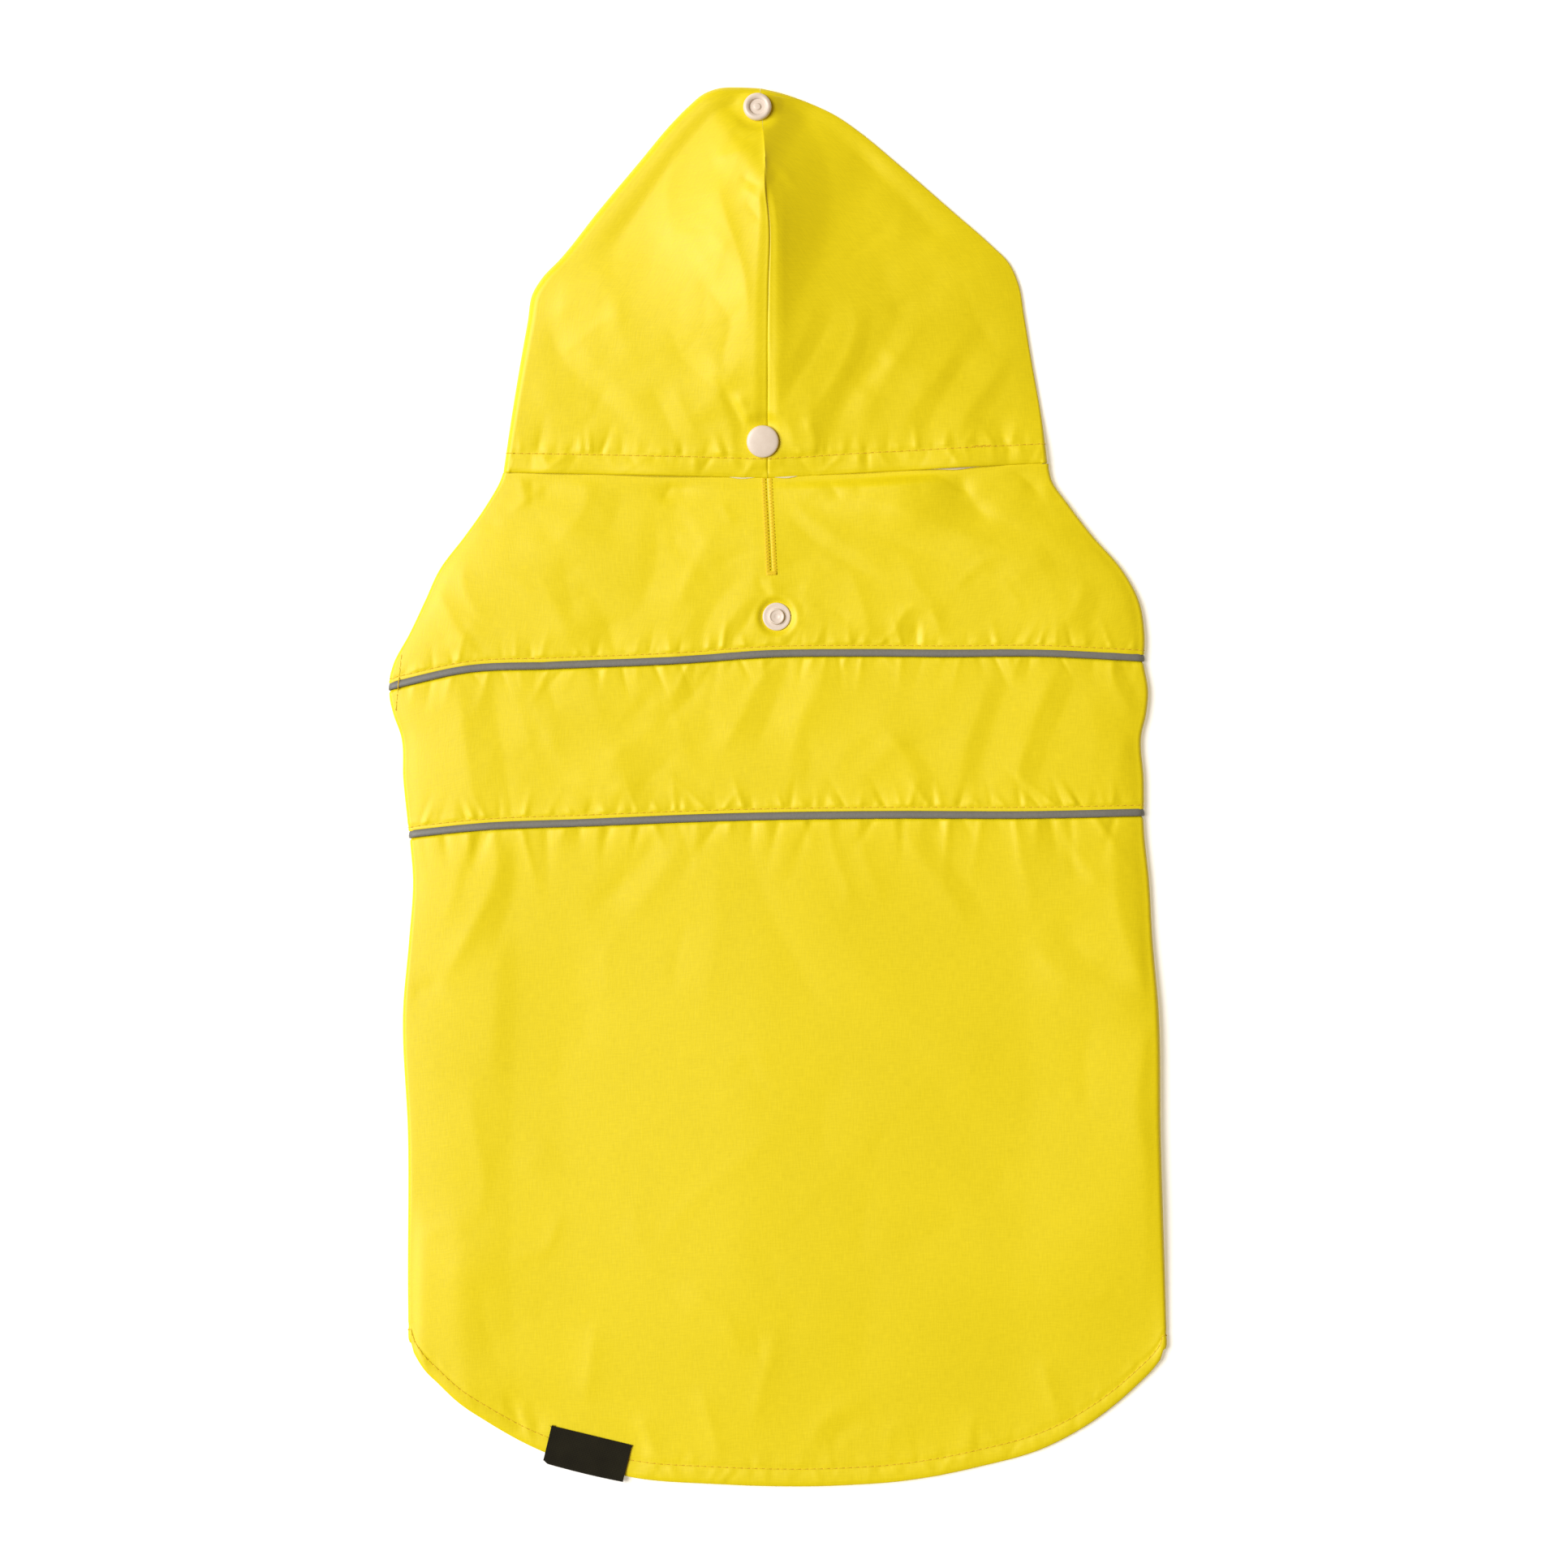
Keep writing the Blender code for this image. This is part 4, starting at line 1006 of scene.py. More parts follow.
# %% A grid put in its place
def grid_piece(name, points, flat):
    """A grid primitive with its points put in place and its flat coordinates."""
    rows, columns = points.shape[:2]
    bpy.ops.object.select_all(action="DESELECT")
    bpy.ops.mesh.primitive_grid_add(x_subdivisions=columns - 1, y_subdivisions=rows - 1, size=1.0)
    piece = bpy.context.active_object
    piece.name = piece.data.name = name
    mesh = piece.data
    mesh.vertices.foreach_set("co", (points * MM).reshape(-1))
    mesh.uv_layers[0].name = "flat"
    corners = np.zeros(len(mesh.loops), dtype=np.int32)
    mesh.loops.foreach_get("vertex_index", corners)
    flat = flat.reshape(-1, 2)[corners]
    mesh.uv_layers["flat"].uv.foreach_set("vector", flat.reshape(-1).astype(np.float32))
    mesh.update()
    return piece


def flat_coordinates(points):
    """Lengths along the cloth, in metres, across from its middle column and down from its top."""
    across = np.array([lengths_along(row) for row in points])
    across = across - across[:, across.shape[1] // 2][:, None]
    down = np.array([lengths_along(column) for column in points.swapaxes(0, 1)]).T
    return np.stack([across, down], axis=2) * MM


# %% [markdown]
# The cloth's faces look outwards.  The cells of a slit are left out before it gets its wall.
# Solidify then gives it two faces and closed edges, and edges sharper than 55 degrees stay sharp.

# %% Cloth laid on a surface
SMOOTH_CLOTH = math.radians(55)


def lay_cloth(name, surface, wall, finish, left_out=None):
    piece = grid_piece(name, surface.points, flat_coordinates(surface.points))
    mesh = piece.data
    columns = surface.points.shape[1]
    normals = np.zeros(len(mesh.vertices) * 3)
    mesh.vertices.foreach_get("normal", normals)
    inward = (normals.reshape(surface.out.shape) * surface.out).sum(axis=2).mean() < 0
    shape = bmesh.new()
    shape.from_mesh(mesh)
    if left_out is not None:
        shape.faces.ensure_lookup_table()
        dropped = [face for face in shape.faces
                   if left_out[face.index // (columns - 1), face.index % (columns - 1)]]
        bmesh.ops.delete(shape, geom=dropped, context="FACES")
    if inward:
        bmesh.ops.reverse_faces(shape, faces=shape.faces)
    area = sum(face.calc_area() for face in shape.faces)
    shape.to_mesh(mesh)
    shape.free()
    thicken = piece.modifiers.new("wall", "SOLIDIFY")
    thicken.thickness = wall * MM
    thicken.offset = 0.0
    apply_modifiers(piece)
    bpy.ops.object.shade_smooth_by_angle(angle=SMOOTH_CLOTH)
    mesh.materials.append(finish)
    print(f"{name}: {len(mesh.polygons) * 2} triangles, {area * 1e4:.1f} cm2 of cloth")
    return piece


def dress(piece, slot, *nodes):
    """The piece rides on the coat and stands for its nodes; the slot is not used."""
    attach(piece, "root")
    if nodes:
        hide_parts(*nodes)
    return piece


# %% [markdown]
# ## Back yoke
#
# The yoke is cut on up under the hood, where its neck edge hides.  The leash slot is a slit in
# it: the two columns beside the slit are moved to its edges, and the cells between are left out.
# Its lips lie close together and turn down.

# %% Yoke with its slit
SLIT_TOP, SLIT_FOOT, SLIT_WIDTH = (-4.2, 120.0), (-2.3, 82.6), 0.16
SLIT_MIDDLE = (-3.8, 100.0)
SLIT_REACH, SLIT_SPREAD = 18, 7.0


def slit_x(y):
    return np.interp(y, (SLIT_FOOT[1], SLIT_TOP[1]), (SLIT_FOOT[0], SLIT_TOP[0]))


def open_slit(surface):
    """Moves columns to the slit's edges; returns the surface and the cells to leave out."""
    points = surface.points.copy()
    x, y = points[..., 0], points[..., 1]
    middle_row = np.abs(y[:, x.shape[1] // 2] - SLIT_MIDDLE[1]).argmin()
    column = int(np.abs(x[middle_row, :-1] - SLIT_MIDDLE[0]).argmin())
    at = y[:, column]
    inside = ease((at - SLIT_FOOT[1] + 6.0) / 6.0)
    target = slit_x(at)
    for edge, sign in ((column, -1.0), (column + 1, 1.0)):
        shift = (target + sign * SLIT_WIDTH / 2 - x[:, edge]) * inside
        for steps_away in range(SLIT_REACH + 1):
            other = edge + int(sign) * steps_away
            points[:, other, 0] += shift * float(hump(steps_away, SLIT_SPREAD))
    cells = np.zeros((points.shape[0] - 1, points.shape[1] - 1), dtype=bool)
    cells[:, column] = (at[:-1] < SLIT_TOP[1]) & (at[1:] > SLIT_FOOT[1])
    from_slit = np.abs(points[..., 0] - slit_x(y))
    lips = 0.06 * hump(from_slit - 1.4, 1.0) - 0.16 * hump(from_slit, 0.40)
    points[..., 2] += lips * ease((y - SLIT_FOOT[1] + 1.5) / 2.0)
    return laid(points), cells


cloth["yoke"], slit_cells = open_slit(cloth["yoke"])
print("cells left out for the slit:", int(slit_cells.sum()))

# %% [markdown]
# Above the hood's hem only the top layer of the yoke goes on, narrower and lower, as far as the
# neck seam inside the hood.  A few more rows are put before the yoke's own, so that it stays one
# piece of cloth.

# %% Yoke with its neck
NECK_END_Y, NECK_HALF_WIDTH = 139.8, 88.0
NECK_SHARES = (0.0, 0.3, 0.6, 0.85)


def neck_level(x):
    """The neck sinks towards both ends, so that the hood covers it."""
    return NECK_LEVEL - 1.4 * ease((x - 45.0) / 40.0) - 0.6 * ease((-x - 60.0) / 30.0)


def neck_rows(surface):
    """Rows of the top layer alone, on up under the hood."""
    first = surface.points[0]
    top = slice(SIDE_COLUMNS, len(first) - SIDE_COLUMNS)
    spread = np.linspace(-NECK_HALF_WIDTH, NECK_HALF_WIDTH, len(first[top]))
    rows = []
    for share in NECK_SHARES:
        row = first.copy()
        row[top, 0] = spread + (first[top, 0] - spread) * share ** 2
        row[top, 1] = NECK_END_Y + (first[top, 1] - NECK_END_Y) * share
        sunk = neck_level(row[top, 0])
        row[top, 2] = sunk + (first[top, 2] - sunk) * share ** 2
        row[:SIDE_COLUMNS] = row[SIDE_COLUMNS]
        row[-SIDE_COLUMNS:] = row[-SIDE_COLUMNS - 1]
        rows.append(row)
    return np.array(rows)


neck = neck_rows(cloth["yoke"])
whole_yoke = laid(np.concatenate([neck, cloth["yoke"].points]))
neck_cells = np.zeros((len(neck), slit_cells.shape[1]), dtype=bool)
neck_cells[:, :SIDE_COLUMNS + 1] = True
neck_cells[:, -SIDE_COLUMNS - 1:] = True
yoke = lay_cloth("back_yoke", whole_yoke, CLOTH, shell, np.concatenate([neck_cells, slit_cells]))
dress(yoke, "shell_cloth", "yoke")

# %% [markdown]
# ## Back band and skirt
#
# The band lies between the two pipings.  The skirt ends in a hem, folded under and stitched, so
# its edge is two layers thick, and from below the fold can be seen.

# %% Band and skirt
band = lay_cloth("back_band", cloth["band"], CLOTH, shell)
dress(band, "shell_cloth", "band")
skirt = lay_cloth("back_skirt", with_hem(cloth["skirt"], HEM_FOLD), CLOTH, shell)
dress(skirt, "shell_cloth", "skirt")

# %% [markdown]
# ## Belly panel
#
# The belly panel closes the tube underneath.  It is flat on the floor, its neckline dips, its
# hem rises, and it is scooped out at the leg holes.

# %% Belly panel
SEAM_GAP = 0.3
NECK_SCOOP, BELLY_HEM_RAISE = 12.0, 45.0
BELLY_COLUMNS = 90
BELLY_ROW_STEP = {"yoke": 2, "band": 2, "skirt": 3}


def belly_surface():
    rows = []
    across = np.linspace(0.0, 1.0, BELLY_COLUMNS)
    arch = 1 - (2 * across - 1) ** 2
    for name, step in BELLY_ROW_STEP.items():
        surface = cloth[name].points
        for number in range(0, len(surface), step):
            share = number / (len(surface) - 1)
            ends = []
            for sign, edge in ((1.0, surface[number, 0]), (-1.0, surface[number, -1])):
                hole = float(leg_hole(edge[1]))
                inward = SEAM_GAP + (LEG_HOLE_OUTWARD + LEG_HOLE_INWARD) * hole
                ends.append((edge[0] + sign * inward, edge[1]))
            bow = {"yoke": -NECK_SCOOP * (1 - share) ** 2, "band": 0.0,
                   "skirt": BELLY_HEM_RAISE * share ** 2}[name]
            x = ends[0][0] + (ends[1][0] - ends[0][0]) * across
            y = ends[0][1] + (ends[1][1] - ends[0][1]) * across + bow * arch
            soft = 0.25 * arch * (np.sin(x / 17.0 + y / 31.0) + np.sin(y / 13.0 - x / 41.0) + 1.6)
            rows.append(np.column_stack([x, y, UNDER + soft]))
    return laid(np.array(rows), outward_z=-1.0)


belly = lay_cloth("belly", belly_surface(), CLOTH, shell)
dress(belly, "shell_cloth", "belly_panel")

# %% [markdown]
# ## Hood
#
# The hood is two halves with a seam over the head.  Each half is a fan of lines: from a point on
# the outline, over the top, to a point on the seam.  At the outline the cloth rolls under and
# goes on as a border round the face opening.  The seam stands highest, because the hood is cut
# round and can't lie flat.

# %% Hood tables
HOOD_SEAM_Y = (118.6, 132.0, 145.0, 165.0, 190.0, 215.0, 228.0, 239.5)
HOOD_SEAM_X = (-3.9, -3.9, -3.9, -3.9, -3.7, -3.4, -4.8, -4.9)
HOOD_SEAM_LEVEL = (6.4, 8.4, 10.8, 15.2, 18.2, 18.3, 17.2, 14.8)
HOOD_OUTLINES = {
    "left": ((-105.5, 120.8), (-102.7, 139.8), (-98.6, 164.7), (-96.1, 178.7), (-94.3, 189.0),
             (-90.5, 195.2), (-84.0, 202.0), (-69.0, 220.8), (-53.4, 239.5), (-40.0, 255.4),
             (-34.1, 261.3), (-28.5, 265.9), (-22.9, 268.0), (-15.0, 268.5), (-6.9, 268.2)),
    "right": ((103.6, 124.5), (101.7, 139.8), (97.4, 164.7), (94.6, 181.8), (92.7, 192.7),
              (89.0, 201.0), (81.8, 208.3), (67.5, 220.8), (46.0, 239.5), (31.0, 251.9),
              (22.3, 257.9), (12.9, 262.4), (2.0, 266.2), (-6.7, 268.2)),
}
HOOD_BORDER = 30.0
HOOD_HEM_LEVEL, HOOD_CROWN_LEVEL = 5.9, 5.0
HOOD_LEFT_PUFF, HOOD_LEFT_HEM_DROP = 2.2, 1.0
HOOD_RIGHT_DROP, HOOD_RIGHT_DROP_WIDTH = 3.9, 25.0
HOOD_END = 0.12             # share of the outline at hem and crown over which these fade
HOOD_HEM_DEPTH = 7.1
STEEP_FACET_Y = (118.0, 166.0, 174.0, 186.0, 204.0, 226.0, 240.0)
STEEP_FACET_WIDTH = (0.5, 1.0, 6.0, 13.5, 23.0, 31.0, 33.0)
HOOD_CREASES = {
    "left": crease_table("""
12 8 -0.6      -26 270  -38 246  -47 231  -57 215  -64 202  -62 186
4 9 0.22       -30 262  -39 242  -42 229  -41 214  -36 196
14 5 1.05      -24 238  -22 224  -17 208  -14 199  -12 186  -11.4 166
6 4 -0.62      -41 180  -39 168  -33 161  -25.5 154  -16.5 144  -8.5 131
3 3 -0.75      -24 158  -18 148  -14 140  -11 131
2.2 2.6 0.55   -16 152  -12.6 143  -9.6 136
6 4 0.37       -30 168  -20 156  -14 144  -8 138
3.4 5 -0.37    -34 198  -24 187  -18 178  -20.5 167  -21.5 152
9 5 -0.59      -92 190  -87 172  -80 161  -69 151  -60 142  -48 127
6 9 0.4        -80 180  -72 164  -60 152  -46 138
4 3.4 -0.37    -50 154  -44 144  -36 126
4 4 0.31       -42 156  -36 144  -28 128
12 10 0.37     -70 206  -64 184  -52 168
18 36 -1.1     0 320  -22 268  -33 238  -42 214  -55 186  -66 168
3.6 3.4 -0.5   -23 264  -16 257  -9 250
4 3.6 0.31     -26 240  -16 242  -7 244.5
3 3 -0.31      -18 252  -14 248  -8 246
2 2.2 -0.28    -15 234  -10 230.5  -5.5 228
2.2 2.2 0.24   -14 229  -9 225.5  -5.5 222
2 2.2 -0.22    -13 224  -9 219  -6 214
6 6 0.28       -98 160  -90 148  -86 132
5 4 0.25       -74 150  -70 138  -70 126
8 5 0.8        -27 166  -23 152  -19 140  -17 130  -15 112
""") + faint_creases(104, 26, (-92, 132, -12, 236), 55.0, 30.0, 0.34),
    "right": crease_table("""
2.4 2.4 0.2    2 236  1.6 205  1.8 176  1.4 150
24 36 -1.5     64 330  53 292  41 254  30 226  19 203  9 186  3 171
8 3 -0.42      23 190  19 177  13 165  6 154  -1 140
3.4 9 0.55     27 190  30 177  27.4 167  21.4 155  16 147  11 137
4 4 0.2        15 188  12 178  7 167  3 156
4 5 -0.3       37 188  34 168  26 152  18 134
8 7 -0.61      54 190  40 168  28 150  16 126
6 5 0.33       60 186  46 164  36 146  30 128
10 4.5 0.55    74 178  61 157  50 142  44 126
4.5 6 -0.39    76 170  66 154  59 142  57 128
8 4 0.47       92 172  82 156  72 142  68 126
4 6 -0.3       94 164  85 150  77 138  75 128
3 3 -0.15      4 146  10 138  13 126
2.4 2.4 0.25   1 142  5 135  7 126
3 3 0.5        10 142  14 134  15 125
9 5 0.75       15 156  12 146  12 138  12.5 128  13 110
2.2 2 0.28     -4 239  1 236  7 230
2 2 -0.22      -4 232  1 231.5  5 228
6 7 -0.28      46 232  54 220  64 208
12 12 0.28     56 214  64 194  62 178
7 7 0.22       10 258  24 250  36 244
""") + faint_creases(105, 26, (32, 132, 88, 232), 55.0, 30.0, 0.34),
}
HOOD_HEM_PUCKERS = {
    "left": (Puckers(61, 4.4, 7.5, 1.2, 0.55, 0.35, 1.2),
             Puckers(67, 5.0, 9.0, 1.3, 0.45, 0.7, 0.8)),
    "right": (Puckers(71, 4.6, 7.5, 1.2, 0.55, 0.35, 1.2),
              Puckers(73, 5.4, 9.0, 1.3, 0.45, 0.7, 0.8)),
}
print("creases on the hood:", sum(len(table) for table in HOOD_CREASES.values()))

# %% [markdown]
# A line of the fan is the border underneath, the roll and the leaf on top.  The hem stands off
# the yoke in a few places, and beside the seam the leaves dip.  The left leaf falls evenly from
# the seam, and the right one falls first in a steep facet, as cloth does beside a stiff seam.

# %% Hood surface
OUTLINE_FINE, OUTLINE_COARSE = 0.45, 1.25
LEAF_LENGTH, LEAF_FINE, LEAF_COARSE = 95.0, 0.4, 0.85
BORDER_COLUMNS = 14
HOOD_ROLL_ANGLES = np.radians(np.linspace(-90.0, 90.0, 19))
HemLift = namedtuple("HemLift", "x width rise")
HEM_LIFTS = (HemLift(-88, 12, 0.9), HemLift(-46, 17, 1.6), HemLift(33, 10, 0.8),
             HemLift(68, 17, 1.7))
SEAM_HALF_GAP = 0.08
SEAM_GROOVE, SEAM_GROOVE_WIDTH = 0.40, 0.30
SEAM_DIP, SEAM_DIP_WIDTH = 0.75, {"left": 5.5, "right": 4.4}
SEAM_DIP_TOP_Y, SEAM_DIP_FADE = 232.0, 12.0
HEM_CALM, HEM_PULL, HEM_OFF = 9.0, 7.0, 0.02
HALF_WIDTH_AT_HEM = 106.0
LEFT_FALL = (0.86, 0.14)
STEEP_FALL, STEEP_EASING, STEEP_CORNER = 1.45, 0.65, 0.05


def hood_surface(side):
    outline = np.array(HOOD_OUTLINES[side])
    lengths = lengths_along(outline)
    steps = graded(lengths[-1], OUTLINE_FINE, OUTLINE_COARSE)
    line = steps[:, None]
    outer = curve_through(lengths, outline, steps * lengths[-1])
    seam_y = HOOD_SEAM_Y[0] + (HOOD_SEAM_Y[-1] - HOOD_SEAM_Y[0]) * steps
    gap = SEAM_HALF_GAP * ease((224.0 - seam_y) / 10.0)
    seam_x = smooth_through(HOOD_SEAM_Y, HOOD_SEAM_X, seam_y) - SIDES[side] * gap
    ridge = smooth_through(HOOD_SEAM_Y, HOOD_SEAM_LEVEL, seam_y)[:, None]
    inward = np.column_stack([seam_x, seam_y]) - outer
    length = np.linalg.norm(inward, axis=1, keepdims=True)
    inward = inward / length
    rim = HOOD_HEM_LEVEL + (HOOD_CROWN_LEVEL - HOOD_HEM_LEVEL) * line
    to_crown = ease((1 - line) / HOOD_END)
    drop = HOOD_RIGHT_DROP * (0.52 + 0.48 * ease(line / HOOD_END)) * to_crown
    drop = drop * (side == "right")
    puff = HOOD_LEFT_PUFF * ease((line - HOOD_END) / 0.33) * to_crown
    puff = puff - HOOD_LEFT_HEM_DROP * (1 - ease(line / 0.2))
    rim = rim + puff * (side == "left")
    radius = (rim - drop - UNDER) / 2
    reach = radius + CLOTH / 2
    border = np.minimum(HOOD_BORDER, 0.8 * length)
    t = np.linspace(0.0, 1.0, BORDER_COLUMNS)[None, :]
    under = border * (1 - t) + reach * t
    angle = HOOD_ROLL_ANGLES[None, 1:]
    rolled = reach - radius * np.cos(angle)
    rolled_z = UNDER + radius * (1 + np.sin(angle))
    across = graded(LEAF_LENGTH, LEAF_FINE, LEAF_COARSE)[None, 1:]
    over = reach + across * (length - reach)
    run = np.concatenate([under, rolled, over], axis=1)
    x = outer[:, 0][:, None] + inward[:, 0][:, None] * run
    y = outer[:, 1][:, None] + inward[:, 1][:, None] * run
    top = slice(under.shape[1] + rolled.shape[1], None)
    level = hood_level(side, x[:, top], y[:, top], across, ridge, rim, length - over)
    level = level - drop * np.exp(-across * length / HOOD_RIGHT_DROP_WIDTH)
    z = np.concatenate([UNDER + 0 * under, rolled_z, level], axis=1)
    return laid(np.stack([x, y, z], axis=2))


def roof(side, from_seam, run, y):
    """1 at the seam and 0 at the roll; on the right a steep facet falls from the seam first."""
    share = np.clip(from_seam / run, 0.0, 1.0)
    if side == "left":
        return 1 - LEFT_FALL[0] * share - LEFT_FALL[1] * share ** 2
    steep = smooth_through(STEEP_FACET_Y, STEEP_FACET_WIDTH, y) / run
    over = (share - steep + np.sqrt((share - steep) ** 2 + STEEP_CORNER ** 2)) / 2
    fall = np.clip(STEEP_FALL * share - STEEP_EASING * over, 0.0, None)
    return 1 - fall / np.maximum(STEEP_FALL - STEEP_EASING * (1 - steep), 1e-3)


def hood_level(side, x, y, across, ridge, rim, from_seam):
    """Height of the middle of the hood's cloth; across goes from 0 at the roll to 1 at the seam."""
    run = from_seam / np.maximum(1 - across, 1e-6)
    run = np.maximum(run[:, :1], 5.0)
    level = rim + (ridge - rim) * roof(side, from_seam, run, y)
    hem_y = HOOD_OUTLINES[side][0][1] + (HOOD_SEAM_Y[0] - HOOD_OUTLINES[side][0][1]) * across
    from_hem = y - hem_y
    hem_rest = NECK_LEVEL + CLOTH + LAYER_STEP + HEM_OFF
    for lift in HEM_LIFTS:
        hem_rest = hem_rest + lift.rise * hump(x - lift.x, lift.width)
    pull = facet(np.maximum(from_hem, 0.0), HEM_PULL)
    level = level + (hem_rest - level) * pull * ease(across / 0.2)
    fade = ease(from_hem / HEM_CALM) * ease(across / 0.14)
    relief = crease_relief(HOOD_CREASES[side], x, y) * fade
    above, below = HOOD_HEM_PUCKERS[side]
    ends = (-HALF_WIDTH_AT_HEM, HALF_WIDTH_AT_HEM)
    puckers = pucker_relief(above, *ends, x, from_hem - HOOD_HEM_DEPTH)
    puckers = puckers + pucker_relief(below, *ends, x, HOOD_HEM_DEPTH - from_hem)
    relief = relief + puckers * ease(across / 0.05) * ease(from_seam / 3.0)
    level = level + relief + hemmed_edge(from_hem, HOOD_HEM_DEPTH)
    level = flatten_to(CAP_SEAT, x, y, level)
    level = flatten_to(SOCKET_SEAT, x, y, level)
    level = level - (SEAM_DIP * ease(1 - from_seam / SEAM_DIP_WIDTH[side])
                     * ease((SEAM_DIP_TOP_Y - y) / SEAM_DIP_FADE)
                     * ease((from_hem - HEM_CALM) / SEAM_DIP_FADE))
    groove = SEAM_GROOVE * hump(from_seam, SEAM_GROOVE_WIDTH)
    return level - groove * ease(from_hem / 4.0)


hood_cloth, hood_pieces = {}, {}
for side in SIDES:
    hood_cloth[side] = hood_surface(side)
    hemmed = with_hem(hood_cloth[side], HOOD_HEM_DEPTH + 1.0, first=True)
    piece = lay_cloth("hood_half_" + side, hemmed, CLOTH, shell)
    hood_pieces[side] = dress(piece, "shell_cloth", "hood_" + side)

# %% [markdown]
# ## Lining
#
# Inside the hood's hem a strip of cream lining is sewn.  It peeps out beside the seam and again
# near the right end, so its edge runs uneven.

# %% Lining strip
LINING_WALL = 0.25


def lining_surface():
    x = np.linspace(-93.0, 91.0, 190)
    left, right = HOOD_OUTLINES["left"][0], HOOD_OUTLINES["right"][0]
    hem = np.interp(x, (left[0], HOOD_SEAM_X[0], right[0]), (left[1], HOOD_SEAM_Y[0], right[1]))
    right_peep = hump(x - 68.0, 17.0)
    peep = hump(x + 13.5, 7.5) + hump(x - 3.4, 6.0) + 1.05 * right_peep
    low = hem + 1.0 - 1.9 * np.minimum(peep, 1.05) + 0.12 * np.sin(x / 2.3)
    rows = []
    for share in np.linspace(0.0, 1.0, 10):
        y = low * (1 - share) + (hem + 9.0) * share
        z = neck_level(x) + 0.45 + 0.05 * np.sin(x / 4.1 + 1.0) + 0.8 * right_peep
        rows.append(np.column_stack([x, y, z]))
    return laid(np.array(rows))


lining = lay_cloth("hood_lining_strip", lining_surface(), LINING_WALL, lining_cream)
dress(lining, "lining", "hood_lining")

# %% [markdown]
# ## Pipings
#
# A piping is a flat tape that stands in the seam, gripped by the folded edge above it and the
# tucked edge below it.  It is a tube of flattened section that follows the seam from one inner
# edge of the underside, round both sides, to the other.

# %% Sweep a section along a path
SMOOTH_TUBE = math.radians(60)


def sweep(name, path, out, half_width, half_height, finish, sides=10):
    """A closed tube round a path, with its flat face turned outwards."""
    along = unit(np.gradient(path, axis=0))
    out = unit(out - (out * along).sum(axis=1, keepdims=True) * along)
    sideways = np.cross(along, out)
    angle = np.linspace(0.0, 2 * math.pi, sides + 1)
    cos, sin = np.cos(angle), np.sin(angle)
    square = (np.abs(cos) ** 4 + np.abs(sin) ** 4) ** -0.25 * 0.35 + 0.65
    across = (half_width * cos * square)[None, :, None] * sideways[:, None]
    height = (np.asarray(half_height).reshape(-1, 1) * (sin * square)[None, :])[..., None]
    points = path[:, None] + across + height * out[:, None]
    flat = np.broadcast_arrays(half_width * cos, lengths_along(path)[:, None])
    piece = grid_piece(name, points, np.stack(flat, axis=2) * MM)
    bpy.ops.object.mode_set(mode="EDIT")
    bpy.ops.mesh.select_all(action="SELECT")
    bpy.ops.mesh.remove_doubles(threshold=1e-7)
    bpy.ops.mesh.select_all(action="DESELECT")
    bpy.ops.mesh.select_non_manifold()
    bpy.ops.mesh.fill_holes(sides=0)
    bpy.ops.mesh.select_all(action="SELECT")
    bpy.ops.mesh.normals_make_consistent(inside=False)
    bpy.ops.object.mode_set(mode="OBJECT")
    bpy.ops.object.shade_smooth_by_angle(angle=SMOOTH_TUBE)
    piece.data.materials.append(finish)
    return piece


# %% [markdown]
# A piping could have a curve of its own, but then it would miss the cloth here and there.  Its
# path is the mean of the two edges that grip it instead, and on top it is raised a little.

# %% Two pipings
PIPING_STEPS = 300
PIPING_LOWEST = 0.60


def between(at, lengths, values):
    """Points or directions told along a line, at other lengths of it."""
    return np.stack([np.interp(at, lengths, column) for column in values.T], axis=-1)


def respaced(line, values):
    """Values told along a line, at even places of its length."""
    lengths = lengths_along(line)
    return between(np.linspace(0.0, lengths[-1], PIPING_STEPS), lengths, values)


def piping(name, upper, lower):
    edges = [(cloth[upper].points[-1], cloth[upper].out[-3]),
             (cloth[lower].points[0], cloth[lower].out[3])]
    path = sum(respaced(line, line) for line, out in edges) / 2
    out = unit(sum(respaced(line, out) for line, out in edges))
    on_top = ease(out[:, 2] + 0.6)
    half_height = 0.50 + 0.18 * on_top
    path = path + out * (0.62 * on_top)[:, None]
    path[:, 2] = np.maximum(path[:, 2], PIPING_LOWEST)
    piece = sweep(name, path, out, PIPING_WIDTH / 2, half_height, piping_grey)
    print(f"{name}: {len(piece.data.polygons)} faces")
    return piece


upper_piping = dress(piping("piping_above_band", "yoke", "band"), "piping", "piping_upper")
lower_piping = dress(piping("piping_below_band", "band", "skirt"), "piping", "piping_lower")

# %% [markdown]
# ## Stitches
#
# One stitch is a short thread that comes out of the cloth, lies on it and goes in again.  It is
# modelled once.  A walk along each sewn line then sets a copy down at every pitch, turned to the
# line and to the cloth.

# %% One stitch, and copies of it along a line
STITCH_PITCH = 2.8
LOOK = 0.6                  # the line's direction is told from this far behind to this far ahead
UP = (0.0, 0.0, 1.0)

Bar = namedtuple("Bar", "verts faces flat")


